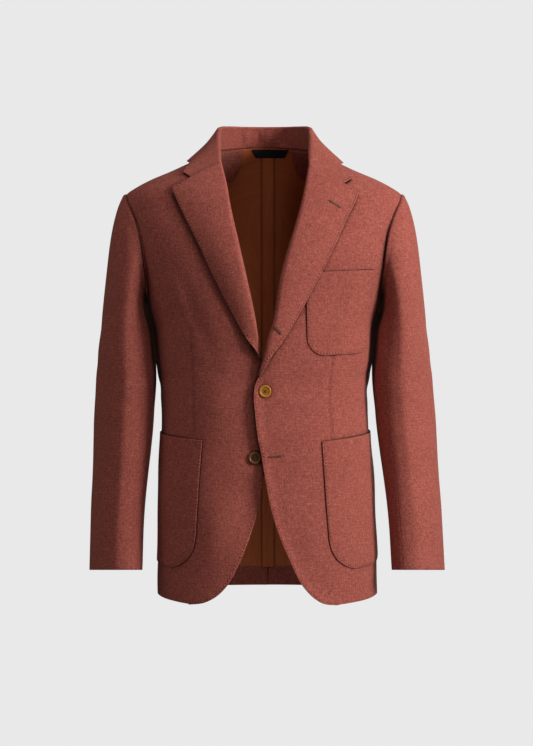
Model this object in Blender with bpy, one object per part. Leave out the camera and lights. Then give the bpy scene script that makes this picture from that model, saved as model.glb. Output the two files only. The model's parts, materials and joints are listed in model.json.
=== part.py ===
# Sport coat, filled out as worn: notch lapels, three patch pockets, two front buttons.
# Metres, +Z up. The front faces -Y and the wearer's left is +X.
# The origin is the middle of the neck opening, level with the back neck seam.

import math

import bmesh
import bpy
import numpy as np
from mathutils import Matrix

for oldObject in list(bpy.data.objects):
    bpy.data.objects.remove(oldObject, do_unlink=True)

# ---- driving sizes -------------------------------------------------------------------------
clothWall = 0.002
liningWall = 0.001
seamGap = 0.0003
squareness = 2.25
shoulderTipZ = -0.0873
sideNeckZ = -0.012
armholeCentreZ = -0.181
armholeHalfHeight = 0.0937
armholeFront = 0.072
armholeBack = 0.075
leanTop = -0.0045
leanSlope = 0.015
leanBelow = 0.35
overlapDrop = 0.0031
hemFacingTop = -0.7253
bladeZ = -0.170
stripLeft = 0.013
stripRight = -0.0078
layerGap = 0.0009
settlingSteps = 16
settlingShare = 0.7

# Direction that each panel faces, in degrees from the centre front, and how much it looks up.
frontFacing = (42.0, 0.5)
sideFacing = (94.0, 0.1)
backFacing = (142.0, 0.7)
liningLift = -clothWall - seamGap
facingLift = liningLift - liningWall - layerGap

lowRows = 10
hemCrowding = 1.5
lapelRows = 10
armholeCells = 8
underarmCells = 4
sideSeamRows = lowRows + lapelRows + 1 - armholeCells
frontColumns = 7
neckColumns = 6
liningColumns = 10
capRows = 6
sleeveRows = 10

frontSeamTurn = math.radians(149.5)
backSeamTurn = math.radians(227.0)
sideSeamFrontHem = math.radians(77.5)
sideSeamBackHem = math.radians(112.0)


def table(names, rows):
    # One array per named column.
    return dict(zip(names.split(), np.array(rows, float).T))


# Sections of the body, level by level: half its width, its reach forward and its reach back.
bodySections = table("z halfWidth front back", [
    (-0.790, 0.1852, 0.1400, 0.1260),
    (-0.700, 0.1831, 0.1395, 0.1255),
    (-0.620, 0.1808, 0.1385, 0.1240),
    (-0.550, 0.1774, 0.1360, 0.1190),
    (-0.480, 0.1730, 0.1335, 0.1140),
    (-0.430, 0.1724, 0.1320, 0.1120),
    (-0.390, 0.1752, 0.1325, 0.1140),
    (-0.345, 0.1800, 0.1350, 0.1190),
    (-0.300, 0.1842, 0.1375, 0.1250),
    (-0.270, 0.1935, 0.1380, 0.1290),
    (-0.240, 0.2050, 0.1370, 0.1310),
    (-0.200, 0.2220, 0.1345, 0.1315),
    (-0.160, 0.2320, 0.1280, 0.1290),
    (-0.125, 0.2370, 0.1185, 0.1250),
    (-0.100, 0.2350, 0.1105, 0.1210),
    (-0.0873, 0.2285, 0.1030, 0.1180),
    (-0.0788, 0.2159, 0.0975, 0.1160),
    (-0.0645, 0.1890, 0.0885, 0.1130),
    (-0.051, 0.1570, 0.0790, 0.1090),
    (-0.0345, 0.1226, 0.0660, 0.1040),
    (-0.022, 0.0975, 0.0550, 0.0985),
    (-0.012, 0.0780, 0.0450, 0.0930),
    (0.000, 0.0580, 0.0330, 0.0880),
    (0.012, 0.0420, 0.0230, 0.0830),
])

# Height of the hem by direction from the centre front, in degrees.
hemLine = table("degrees z", [
    (0, -0.7638),
    (40, -0.7636),
    (60, -0.7605),
    (78, -0.7572),
    (110, -0.7565),
    (180, -0.7566),
])

# Front edge of each front, from the hem up to where the lapel breaks.
edgeRight = table("z x", [
    (-0.7636, -0.1235),
    (-0.7590, -0.0990),
    (-0.7495, -0.0815),
    (-0.7318, -0.0638),
    (-0.7060, -0.0490),
    (-0.6540, -0.0280),
    (-0.6156, -0.0160),
    (-0.5700, -0.0073),
    (-0.5270, -0.0010),
    (-0.4930, 0.0050),
    (-0.4300, 0.0090),
    (-0.3950, 0.0060),
    (-0.3760, -0.0010),
    (-0.3640, -0.0090),
])
edgeLeft = table("z x", [
    (-0.7636, 0.1106),
    (-0.7600, 0.0900),
    (-0.7510, 0.0755),
    (-0.7380, 0.0629),
    (-0.7205, 0.0508),
    (-0.6960, 0.0395),
    (-0.6540, 0.0218),
    (-0.6140, 0.0089),
    (-0.5655, -0.0008),
    (-0.5270, -0.0073),
    (-0.4930, -0.0137),
    (-0.4570, -0.0178),
    (-0.4220, -0.0200),
    (-0.4040, -0.0172),
    (-0.3920, -0.0110),
])

# Roll line of each lapel, where the front's cloth ends and the lapel turns over, from the break to the gorge.
rollRight = table("z x", [
    (-0.3640, -0.0090),
    (-0.3500, -0.0132),
    (-0.3074, -0.0219),
    (-0.2396, -0.0376),
    (-0.1826, -0.0506),
    (-0.1229, -0.0631),
    (-0.0767, -0.0705),
    (-0.0477, -0.0765),
])
rollLeft = table("z x", [
    (-0.3920, -0.0110),
    (-0.3750, -0.0050),
    (-0.3590, 0.0005),
    (-0.3315, 0.0077),
    (-0.3122, 0.0150),
    (-0.2815, 0.0215),
    (-0.2346, 0.0295),
    (-0.2000, 0.0385),
    (-0.1630, 0.0492),
    (-0.1290, 0.0583),
    (-0.0979, 0.0651),
    (-0.0535, 0.0718),
])

# Outer edge of each lapel, from the break to its tip.
lapelEdgeRight = table("z x", [
    (-0.3637, -0.0125),
    (-0.3520, -0.0175),
    (-0.3321, -0.0316),
    (-0.2918, -0.0543),
    (-0.2351, -0.0834),
    (-0.1758, -0.1110),
    (-0.1280, -0.1337),
    (-0.0853, -0.1513),
])
lapelEdgeLeft = table("z x", [
    (-0.3915, -0.0070),
    (-0.3799, -0.0005),
    (-0.3621, 0.0075),
    (-0.3475, 0.0186),
    (-0.3070, 0.0446),
    (-0.2422, 0.0802),
    (-0.1823, 0.1100),
    (-0.1337, 0.1320),
    (-0.1060, 0.1440),
    (-0.0922, 0.1471),
])

# How far each lapel has turned over, in degrees, from the break (share 0) upwards.
lapelTurn = table("share degrees", [
    (0.00, 20),
    (0.06, 120),
    (0.12, 168),
    (0.20, 180),
])
lapelRadius = 0.0042
lapelEdgeRise = 0.0048
lapelBelly = 0.0030

# Corner of the notch and tip of the collar's leaf on each side, seen from the front.
notchRight = {"x": -0.1173, "z": -0.0690, "tipX": -0.1358, "tipZ": -0.0560}
notchLeft = {"x": 0.1202, "z": -0.0788, "tipX": 0.1391, "tipZ": -0.0672}

# Collar from the centre back (share 0) past the shoulder seam (share sideNeckShare) to the top of the roll
# (share 1): place of its fold, and direction, height and lift of its lower edge, which ends at the leaf's tip.
sideNeckShare = 0.6
collarCentreX = -0.0030
collarSections = table("share foldX foldY foldZ edgeDegrees edgeZ edgeLift", [
    (0.00, 0.0000, 0.0915, 0.0366, 180.0, -0.0125, 0.0062),
    (0.15, 0.0345, 0.0820, 0.0358, 160.0, -0.0140, 0.0060),
    (0.30, 0.0595, 0.0530, 0.0330, 138.0, -0.0180, 0.0056),
    (0.45, 0.0730, 0.0270, 0.0292, 116.0, -0.0240, 0.0052),
    (0.60, 0.0762, 0.0020, 0.0212, 97.0, -0.0315, 0.0050),
    (0.70, 0.0758, -0.0185, 0.0080, 97.0, -0.0315, 0.0048),
    (0.80, 0.0748, -0.0370, -0.0090, 97.0, -0.0315, 0.0048),
    (0.90, 0.0738, -0.0555, -0.0300, 97.0, -0.0315, 0.0048),
])
leafEdgeBend = 1.3
foldRadius = 0.0045
collarFrontCells = 4
foldCells = 4
leafCells = 5
standCells = 2

# Sleeve tube below the cap, level by level: its middle, half its width and half its depth.
sleeveSections = table("z x y halfWidth halfDepth", [
    (-0.7400, 0.2530, -0.0310, 0.0461, 0.0490),
    (-0.7156, 0.2522, -0.0280, 0.0461, 0.0495),
    (-0.6100, 0.2476, -0.0140, 0.0468, 0.0560),
    (-0.5150, 0.2405, -0.0030, 0.0498, 0.0630),
    (-0.4535, 0.2358, 0.0000, 0.0516, 0.0660),
    (-0.4000, 0.2328, 0.0000, 0.0513, 0.0690),
    (-0.3600, 0.2322, -0.0010, 0.0481, 0.0715),
    (-0.3200, 0.2318, -0.0020, 0.0438, 0.0735),
])
cuffZ = -0.7156
capZ = -0.3200

# Creases of a sleeve: height, direction round the sleeve in degrees, depth, length and width.
sleeveFolds = table("z degrees depth length width slope", [
    (-0.405, 60, 0.0022, 0.060, 0.011, 0.30),
    (-0.440, 100, 0.0026, 0.070, 0.012, -0.25),
    (-0.475, 70, 0.0018, 0.050, 0.010, 0.20),
    (-0.350, 300, 0.0020, 0.070, 0.014, -0.30),
    (-0.300, 35, 0.0016, 0.050, 0.012, 0.45),
    (-0.560, 85, 0.0014, 0.060, 0.013, 0.15),
])

# Patch pockets: corner at the front of the mouth, size, rise of the mouth and lean of the front edge.
pockets = {
    "hip_pocket_right": {"x": -0.1043, "z": -0.4973, "width": 0.168, "depth": 0.212,
                         "rise": 0.08, "lean": 0.07, "corner": 0.055, "backCorner": 0.055},
    "hip_pocket_left": {"x": 0.0896, "z": -0.4994, "width": 0.172, "depth": 0.212,
                        "rise": 0.10, "lean": 0.07, "corner": 0.055, "backCorner": 0.055},
    "breast_pocket": {"x": 0.0640, "z": -0.2262, "width": 0.124, "depth": 0.135,
                      "rise": 0.06, "lean": 0.010, "corner": 0.032, "backCorner": 0.032},
}
pocketWall = 0.0016
pocketColumns = 10
pocketRows = 6

# Buttons: 32 line horn buttons with a dished face and four holes.
buttons = {
    "button_upper": {"x": -0.0023, "z": -0.4176, "lift": 0.0},
    "button_lower": {"x": -0.0192, "z": -0.5248, "lift": -overlapDrop},
}
buttonRadius = 0.01015
buttonThickness = 0.0036
holeRadius = 0.0009
holeSpacing = 0.0016

# Label at the back neck.
label = {"left": 0.0400, "right": -0.0265, "slant": 0.0080, "top": -0.0025, "height": 0.0120, "wall": 0.0008}

# Free edge of the facing inside the back neck on the wearer's right, seen from the front.
facingEdge = table("z x", [
    (-0.0720, -0.0800),
    (-0.0614, -0.0655),
    (-0.0460, -0.0545),
    (-0.0306, -0.0475),
    (-0.0085, -0.0425),
])
facingMiddleX = 0.0015
facingColumn = 4
facingRows = 4

# ---- materials -----------------------------------------------------------------------------


def material(name, colour, roughness):
    made = bpy.data.materials.new(name)
    made.use_nodes = True
    shader = made.node_tree.nodes["Principled BSDF"]
    shader.inputs["Base Color"].default_value = (*colour, 1.0)
    shader.inputs["Roughness"].default_value = roughness
    shader.inputs["Metallic"].default_value = 0.0
    return made


rustFlannel = material("rust_wool_flannel", (0.33, 0.095, 0.068), 0.9)
brownLining = material("brown_lining", (0.15, 0.055, 0.025), 0.55)
navyTape = material("navy_label_tape", (0.010, 0.014, 0.022), 0.7)
hornAmber = material("amber_horn", (0.42, 0.17, 0.045), 0.35)

# ---- the form of the body ------------------------------------------------------------------


def along(rows, key, column, at):
    # Smooth curve through one column of a table.
    places = rows[key]
    values = rows[column]
    slopes = np.gradient(values, places)
    at = np.clip(at, places[0], places[-1])
    cell = np.clip(np.searchsorted(places, at, side="right") - 1, 0, len(places) - 2)
    width = places[cell + 1] - places[cell]
    t = (at - places[cell]) / width
    start = values[cell] * (1 + 2 * t) * (1 - t) ** 2 + slopes[cell] * width * t * (1 - t) ** 2
    end = values[cell + 1] * t * t * (3 - 2 * t) + slopes[cell + 1] * width * t * t * (t - 1)
    return start + end


def unit(vectors):
    return vectors / np.maximum(np.linalg.norm(vectors, axis=-1, keepdims=True), 1e-12)


def centreX(z):
    # The coat hangs a few millimetres to the wearer's right at the top and less so lower down.
    return leanTop + leanSlope * np.maximum(0.0, -z - leanBelow)


def bodyPoint(angle, z):
    # A rounded section at height z, in the direction of the angle from the centre front.
    halfWidth = along(bodySections, "z", "halfWidth", z)
    front = along(bodySections, "z", "front", z)
    back = along(bodySections, "z", "back", z)
    reach = np.where(np.cos(angle) > 0, front, back)
    across = np.abs(np.sin(angle)) / halfWidth
    ahead = np.abs(np.cos(angle)) / reach
    radius = (across ** squareness + ahead ** squareness) ** (-1 / squareness)
    return np.stack([centreX(z) + radius * np.sin(angle), -radius * np.cos(angle), z], axis=-1)


def bodyNormal(angle, z):
    step = 0.002
    round_ = bodyPoint(angle + step, z) - bodyPoint(angle - step, z)
    rise = bodyPoint(angle, z + step) - bodyPoint(angle, z - step)
    return unit(np.cross(round_, rise))


def onBody(angle, z, lift):
    return bodyPoint(angle, z) + bodyNormal(angle, z) * np.asarray(lift)[..., None]


def angleAtX(x, z):
    # Direction of the point of the front that lies at x when seen from the front.
    half = x - centreX(z)
    share = np.minimum(np.abs(half) / along(bodySections, "z", "halfWidth", z), 0.999)
    ahead = along(bodySections, "z", "front", z) * (1 - share ** squareness) ** (1 / squareness)
    return np.arctan2(half, ahead)


def angleAtY(y, z):
    # Direction of the point of the wearer's left side that lies at y when seen from the side.
    reach = np.where(y < 0, along(bodySections, "z", "front", z), along(bodySections, "z", "back", z))
    share = np.minimum(np.abs(y) / reach, 0.999)
    across = along(bodySections, "z", "halfWidth", z) * (1 - share ** squareness) ** (1 / squareness)
    return np.arctan2(across, -y)


def armholePoint(turn):
    # Angle and height of the armhole seam, an egg in the side view; turn runs from the shoulder tip forwards.
    reach = np.where(np.sin(turn) > 0, armholeFront, armholeBack)
    y = -reach * np.sin(turn)
    z = armholeCentreZ + armholeHalfHeight * np.cos(turn)
    return np.stack([angleAtY(y, z), z], axis=-1)


def spaced(points, shares):
    # Points at the given shares of the length of a smooth curve through the given ones.
    points = np.asarray(points, float)
    gone = np.concatenate([[0], np.cumsum(np.linalg.norm(np.diff(points, axis=0), axis=1))])
    fine = np.linspace(0, gone[-1], 400)
    columns = {"gone": gone, "a": points[:, 0], "b": points[:, 1]}
    curve = np.stack([along(columns, "gone", "a", fine), along(columns, "gone", "b", fine)], axis=-1)
    length = np.concatenate([[0], np.cumsum(np.linalg.norm(np.diff(curve, axis=0), axis=1))])
    wanted = length[-1] * shares
    return np.stack([np.interp(wanted, length, curve[:, 0]), np.interp(wanted, length, curve[:, 1])], axis=-1)


def rowsOf(lines, shares):
    # (x, z) points at shares of a table's line.
    return spaced(np.stack([lines["x"], lines["z"]], axis=-1), shares)


def toAngles(points):
    # Front points from (x, z) to (angle, z).
    return np.stack([angleAtX(points[:, 0], points[:, 1]), points[:, 1]], axis=-1)


def filled(bottom, top, inner, outer):
    # Grid filled in between four border lines: rows run from bottom to top, columns from inner to outer.
    u = np.linspace(0, 1, len(bottom))[None, :, None]
    v = np.linspace(0, 1, len(inner))[:, None, None]
    upDown = (1 - v) * bottom[None] + v * top[None]
    acrossPanel = (1 - u) * inner[:, None] + u * outer[:, None]
    corners = (1 - v) * ((1 - u) * bottom[0] + u * bottom[-1]) + v * ((1 - u) * top[0] + u * top[-1])
    return upDown + acrossPanel - corners


def behindPoints(points, cells, degrees, rise):
    # (angle, z) of the spots of the body that lie behind the points when seen from one direction,
    # found step by step from the given ones.
    turn = math.radians(degrees)
    view = unit(np.array([math.sin(turn), -math.cos(turn), rise]))
    step = 0.001

    def flat(vectors):
        return vectors - np.sum(vectors * view, axis=-1, keepdims=True) * view

    for _ in range(settlingSteps):
        angle, z = cells[..., 0], cells[..., 1]
        around = flat(bodyPoint(angle + step, z) - bodyPoint(angle - step, z)) / (2 * step)
        up = flat(bodyPoint(angle, z + step) - bodyPoint(angle, z - step)) / (2 * step)
        off = flat(points - bodyPoint(angle, z))
        aa, bb, ab = (np.sum(p * q, axis=-1) for p, q in ((around, around), (up, up), (around, up)))
        a, b = np.sum(off * around, axis=-1), np.sum(off * up, axis=-1)
        moves = np.stack([bb * a - ab * b, aa * b - ab * a], axis=-1) / (aa * bb - ab * ab)[..., None]
        cells = cells + settlingShare * moves
    return cells


def patch(bottom, top, inner, outer, degrees, rise):
    # (angle, z) grid between four border lines: filled in straight, as seen from the direction the panel faces.
    borders = (bottom, top, inner, outer)
    points = filled(*(bodyPoint(line[:, 0], line[:, 1]) for line in borders))
    return behindPoints(points, filled(*borders), degrees, rise)


# ---- solids --------------------------------------------------------------------------------


def pulledIn(grid):
    # Border points moved half a seam gap inwards, so that neighbours stay clear of each other.
    made = grid.copy()
    made[0] += unit(grid[1] - grid[0]) * seamGap / 2
    made[-1] += unit(grid[-2] - grid[-1]) * seamGap / 2
    inside = made.copy()
    made[:, 0] += unit(inside[:, 1] - inside[:, 0]) * seamGap / 2
    made[:, -1] += unit(inside[:, -2] - inside[:, -1]) * seamGap / 2
    return made


def wall(name, face, reverse, finish):
    # Closed wall between two grids of points, with four rims. Each cell is split along its outer diagonal.
    rows, columns = face.shape[:2]
    points = np.concatenate([face.reshape(-1, 3), reverse.reshape(-1, 3)])
    front = np.arange(rows * columns).reshape(rows, columns)
    behind = front + rows * columns
    outward = (face - reverse)[:-1, :-1]
    diagonals = face[:-1, :-1] + face[1:, 1:] - face[:-1, 1:] - face[1:, :-1]
    bulging = (np.sum(outward * diagonals, axis=-1) > 0)[..., None]
    faces = []
    for grid, turned in ((front, False), (behind, True)):
        low, lowNext, highNext, high = grid[:-1, :-1], grid[:-1, 1:], grid[1:, 1:], grid[1:, :-1]
        for corners, others in (((low, lowNext, highNext), (low, lowNext, high)),
                                ((low, highNext, high), (lowNext, highNext, high))):
            cells = np.where(bulging, np.stack(corners, axis=-1), np.stack(others, axis=-1)).reshape(-1, 3)
            faces.append(cells[:, ::-1] if turned else cells)
    rim = np.concatenate([front[0, :-1], front[:-1, -1], front[-1, :0:-1], front[:0:-1, 0]])
    rimBehind = np.concatenate([behind[0, :-1], behind[:-1, -1], behind[-1, :0:-1], behind[:0:-1, 0]])
    faces.append(np.stack([rimBehind, np.roll(rimBehind, -1), np.roll(rim, -1)], axis=-1))
    faces.append(np.stack([rimBehind, np.roll(rim, -1), rim], axis=-1))
    mesh = bpy.data.meshes.new(name)
    mesh.from_pydata(points.tolist(), [], np.concatenate(faces).tolist())
    shell = bmesh.new()
    shell.from_mesh(mesh)
    if shell.calc_volume(signed=True) < 0:
        bmesh.ops.reverse_faces(shell, faces=shell.faces)
    shell.to_mesh(mesh)
    shell.free()
    mesh.shade_smooth()
    mesh.set_sharp_from_angle(angle=math.radians(50))
    mesh.materials.append(finish)
    made = bpy.data.objects.new(name, mesh)
    bpy.context.collection.objects.link(made)
    return made


def bodyWall(name, cells, lift, thickness, finish):
    # Wall laid on the body's form: its face at the lift, its back one thickness inside.
    face = pulledIn(onBody(cells[..., 0], cells[..., 1], lift))
    reverse = pulledIn(onBody(cells[..., 0], cells[..., 1], np.asarray(lift) - thickness))
    return wall(name, face, reverse, finish)


def turnedWall(name, face, thickness, finish, startSteps=None):
    # Wall with its thickness on the side away from the face, along the grid's own normals.
    # The inner rows can start in the direction of the piece they carry on from.
    rowStep = np.gradient(face, axis=0)
    columnStep = np.gradient(face, axis=1, edge_order=2)
    if startSteps is not None:
        columnStep[1:-1, 0] = startSteps
    reverse = face - unit(np.cross(columnStep, rowStep)) * thickness
    return wall(name, pulledIn(face), pulledIn(reverse), finish)


# ---- fronts, sides and backs ---------------------------------------------------------------


def hemZ(angle):
    return along(hemLine, "degrees", "z", np.degrees(np.abs(angle)))


def sideSeam(armholeTurn, hemAngle):
    # (angle, z) points of a side seam from the hem up to the armhole, the first at the top of the turned-up hem.
    top = armholePoint(np.array(armholeTurn))
    bottom = np.array([hemAngle, hemZ(hemAngle)])
    turnUp = (hemFacingTop - bottom[1]) / (top[1] - bottom[1])
    share = np.concatenate([[0], np.linspace(turnUp, 1, sideSeamRows)])
    return bottom + (top - bottom) * share[:, None]


def armholeRun(startTurn, endTurn, count):
    return armholePoint(np.linspace(startTurn, endTurn, count + 1))


def shoulderSeam(count):
    # (angle, z) points of the shoulder seam from the neck to the shoulder tip.
    z = np.linspace(sideNeckZ, shoulderTipZ, count + 1)
    return np.stack([np.full_like(z, math.pi / 2), z], axis=-1)


def backNeckZ(angle):
    return sideNeckZ * np.sin(angle) ** 2


def rightCoat(cells):
    # The wearer's right side is the other side's mirror image.
    made = cells.copy()
    made[..., 0] *= -1
    return made


def onSide(side, cells):
    return cells if side == "left" else rightCoat(cells)


def frontBorder(side):
    edge = edgeLeft if side == "left" else edgeRight
    roll = rollLeft if side == "left" else rollRight
    low = toAngles(rowsOf(edge, np.linspace(0, 1, lowRows + 1) ** hemCrowding))
    high = toAngles(rowsOf(roll, np.linspace(0, 1, lapelRows + 1)))
    sign = 1 if side == "left" else -1
    neck = np.array([[sign * math.pi / 2, sideNeckZ]])
    return np.concatenate([low, high[1:], neck])


def frontCells(side):
    inner = frontBorder(side)
    outer = np.concatenate([
        sideSeam(frontSeamTurn, sideSeamFrontHem),
        armholeRun(frontSeamTurn, 0, armholeCells)[1:],
    ])
    outer = onSide(side, outer)
    top = onSide(side, shoulderSeam(frontColumns))
    bottomAngles = np.linspace(inner[0, 0], outer[0, 0], frontColumns + 1)
    bottom = np.stack([bottomAngles, hemZ(bottomAngles)], axis=-1)
    bottom[0] = inner[0]
    bottom[-1] = outer[0]
    degrees, rise = frontFacing
    return patch(bottom, top, inner, outer, degrees if side == "left" else -degrees, rise)


def frontLift(side, cells):
    # The right front lies under the left one, so its edge sinks by a wall and a little more.
    if side == "left":
        return np.zeros(cells.shape[:2])
    x = bodyPoint(cells[..., 0], cells[..., 1])[..., 0]
    below = np.clip((-0.330 - cells[..., 1]) / 0.030, 0, 1)
    near = np.clip((x + 0.060) / 0.034, 0, 1)
    return -overlapDrop * near * near * (3 - 2 * near) * below


def makeFront(side):
    cells = frontCells(side)
    bodyWall("front_" + side, cells, frontLift(side, cells), clothWall, rustFlannel)


def makeSide(side):
    inner = sideSeam(frontSeamTurn, sideSeamFrontHem)
    outer = sideSeam(backSeamTurn, sideSeamBackHem)
    bottomAngles = np.linspace(inner[0, 0], outer[0, 0], underarmCells + 1)
    bottom = np.stack([bottomAngles, hemZ(bottomAngles)], axis=-1)
    top = armholeRun(frontSeamTurn, backSeamTurn, underarmCells)
    cells = onSide(side, patch(bottom, top, inner, outer, *sideFacing))
    bodyWall("side_" + side, cells, np.zeros(cells.shape[:2]), clothWall, rustFlannel)


def backCells():
    outer = np.concatenate([
        sideSeam(backSeamTurn, sideSeamBackHem),
        armholeRun(backSeamTurn, 2 * math.pi, armholeCells)[1:],
    ])
    seamZ = np.concatenate([
        [hemZ(math.pi)],
        np.linspace(hemFacingTop, bladeZ, sideSeamRows),
        np.linspace(bladeZ, 0, armholeCells + 1)[1:],
    ])
    inner = np.stack([np.full_like(seamZ, math.pi), seamZ], axis=-1)
    neckAngles = np.linspace(math.pi, math.pi / 2, neckColumns + 1)
    neck = np.stack([neckAngles, backNeckZ(neckAngles)], axis=-1)
    top = np.concatenate([neck, shoulderSeam(frontColumns)[1:]])
    bottomAngles = np.linspace(math.pi, outer[0, 0], len(top))
    bottom = np.stack([bottomAngles, hemZ(bottomAngles)], axis=-1)
    return patch(bottom, top, inner, outer, *backFacing)


def makeBack(side):
    # The back, and inside it the lining and the turned-up hem, all three on the same points.
    cells = onSide(side, backCells())
    level = np.zeros(cells.shape[:2])
    bodyWall("back_" + side, cells, level, clothWall, rustFlannel)
    lined = cells[1:, :liningColumns + 1]
    bodyWall("lining_" + side, lined, level[1:, :liningColumns + 1] + liningLift, liningWall, brownLining)
    bodyWall("hem_facing_" + side, cells[:2], level[:2] + liningLift, liningWall, rustFlannel)


# ---- lapels and collar ---------------------------------------------------------------------


def foldedPath(turn, width, radius):
    # A flap's run beside its roll line (negative away from the panel) and its height, cell by cell.
    arc = np.linspace(0, 1, foldCells + 1) * np.minimum(turn * radius, 0.6 * width)
    bend = arc[-1] / radius
    flat = np.linspace(0, 1, leafCells + 1)[1:] * (width - arc[-1])
    run = np.concatenate([-radius * np.sin(arc / radius), -radius * np.sin(bend) - flat * np.cos(bend)])
    rise = np.concatenate([
        radius * (1 - np.cos(arc / radius)),
        radius * (1 - np.cos(bend)) + flat * np.sin(bend),
    ])
    flatShare = np.concatenate([np.zeros(foldCells + 1), flat / max(flat[-1], 1e-9)])
    return run, rise, flatShare


def flapRow(roll, edge, turn, drop):
    # One row of a lapel or of the collar's end: from the roll line over and out to the edge, laid on the chest.
    direction = edge - roll
    reach = np.linalg.norm(direction)
    direction = direction / reach
    folded = turn / math.pi
    width = reach + math.pi * lapelRadius * folded
    run, rise, flatShare = foldedPath(turn, width, lapelRadius)
    settle = (lapelEdgeRise - (2 * lapelRadius - clothWall)) * flatShare ** 1.5
    belly = lapelBelly * np.sin(math.pi * flatShare) * min(1.0, reach / 0.06)
    lift = rise - clothWall + (settle + belly) * folded ** 4 + drop
    places = roll + direction * run[:, None]
    angles = angleAtX(places[:, 0], places[:, 1])
    return onBody(angles, places[:, 1], lift)


def lapelLines(side):
    shares = np.linspace(0, 1, lapelRows + 1)
    roll = rowsOf(rollLeft if side == "left" else rollRight, shares)
    edge = rowsOf(lapelEdgeLeft if side == "left" else lapelEdgeRight, shares)
    return roll, edge


def makeLapel(side):
    roll, edge = lapelLines(side)
    shares = np.linspace(0, 1, lapelRows + 1)
    turns = np.radians(np.interp(shares, lapelTurn["share"], lapelTurn["degrees"]))
    rows = []
    for index in range(lapelRows + 1):
        sink = 0.0
        if side == "right":
            sink = -overlapDrop * max(0.0, 1 - 3 * shares[index])
        rows.append(flapRow(roll[index], edge[index], turns[index], sink))
    face = np.array(rows)
    turnedWall("lapel_" + side, face if side == "left" else face[::-1], clothWall, rustFlannel)


def collarEnd(side):
    # The collar's end row: down the gorge seam to the notch, then up the leaf's front edge to its tip.
    roll, edge = lapelLines(side)
    notch = notchLeft if side == "left" else notchRight
    corner = np.array([notch["x"], notch["z"]])
    tip = np.array([notch["tipX"], notch["tipZ"]])
    lift = np.array([0.0, 2 * seamGap])
    row = flapRow(roll[-1] + lift, edge[-1] + lift, math.pi, 0.0)
    gorge = flapRow(roll[-1] + lift, corner + lift, math.pi, 0.0)
    tipAngle = angleAtX(tip[0], tip[1])
    tipPoint = onBody(tipAngle, tip[1], lapelEdgeRise)
    flat = np.linspace(0, 1, leafCells + 1)
    reach = [np.linalg.norm(corner - roll[-1]), np.linalg.norm(tip - corner)]
    corners = np.array([0, reach[0], reach[0] + reach[1]])
    bend = gorge[foldCells + leafCells]
    start = gorge[foldCells]
    wanted = flat * corners[-1]
    line = np.stack([
        np.interp(wanted, corners, [start[axis], bend[axis], tipPoint[axis]]) for axis in range(3)
    ], axis=-1)
    return np.concatenate([row[:foldCells], line])


def foldRow(seam, fold, edge):
    # One row of the collar's leaf: over the fold with its radius, then down to the edge.
    up = unit(fold - seam)
    down = unit(edge - fold)
    crown = unit(up - down)
    outward = unit(up + down)
    half = math.acos(float(np.clip(np.dot(up, down), -1, 1))) / 2
    centre = fold - crown * foldRadius
    swing = np.linspace(-half, half, foldCells + 1)[:, None]
    arc = centre + foldRadius * (crown * np.cos(swing) + outward * np.sin(swing))
    flat = np.linspace(0, 1, leafCells + 1)[1:, None]
    return np.concatenate([arc, arc[-1] + (edge - arc[-1]) * flat])


def collarShares():
    # Shares of the collar's rows: on the back neck's own columns, then evenly down to the roll.
    back = np.linspace(0, sideNeckShare, neckColumns + 1)
    front = np.linspace(sideNeckShare, 1, collarFrontCells + 1)
    return np.concatenate([back, front[1:-1]])


def neckRim(side, share):
    # Neck edge of the coat: round the back, then straight down the front's edge to the top of the roll.
    roll, _ = lapelLines(side)
    sign = 1 if side == "left" else -1
    angle = math.pi - sign * math.pi / 2 * min(share / sideNeckShare, 1)
    point = onBody(np.array([angle]), np.array([backNeckZ(angle)]), np.zeros(1))[0]
    lowShare = max(0.0, (share - sideNeckShare) / (1 - sideNeckShare))
    lowAngle = angleAtX(roll[-1:, 0], roll[-1:, 1])
    low = onBody(lowAngle, roll[-1:, 1], np.zeros(1))[0]
    return point + (low - point) * lowShare


def collarRow(side, share):
    # Foot of the stand, fold and lower edge of the leaf at one share of the collar.
    sign = 1 if side == "left" else -1
    half = {name: float(along(collarSections, "share", name, share)) for name in collarSections}
    rim = neckRim(side, share)
    inward = np.array([centreX(0.0) - rim[0], -max(rim[1], 0.0), 0.0])
    seam = rim + unit(inward) * (clothWall + seamGap) + np.array([0, 0, seamGap])
    fold = np.array([collarCentreX + sign * half["foldX"], half["foldY"], half["foldZ"]])
    notch = notchLeft if side == "left" else notchRight
    forward = max(0.0, (share - sideNeckShare) / (1 - sideNeckShare))
    start = sign * math.radians(half["edgeDegrees"])
    angle = start + (angleAtX(notch["tipX"], notch["tipZ"]) - start) * forward
    z = half["edgeZ"] + (notch["tipZ"] - half["edgeZ"]) * forward ** leafEdgeBend
    edge = onBody(np.array([angle]), np.array([z]), np.array([half["edgeLift"]]))[0]
    return seam, fold, edge


def makeCollar():
    # Rows run from the left gorge round the neck to the right one.
    shares = collarShares()
    rows = [collarRow("left", share) for share in shares[::-1]]
    rows += [collarRow("right", share) for share in shares[1:]]
    folds = [foldRow(*row) for row in rows]
    leaf = np.array([collarEnd("left"), *folds, collarEnd("right")])
    seams = np.array([row[0] for row in rows])
    rises = leaf[1:-1, 0] - seams
    turnedWall("collar_leaf", leaf, clothWall, rustFlannel, rises)
    share = np.linspace(0, 1, standCells + 1)[None, :, None]
    tops = seams + rises - unit(rises) * 2 * seamGap
    stand = seams[:, None] * (1 - share) + tops[:, None] * share
    turnedWall("collar_stand", stand, clothWall, rustFlannel)


# ---- sleeves -------------------------------------------------------------------------------


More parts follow.
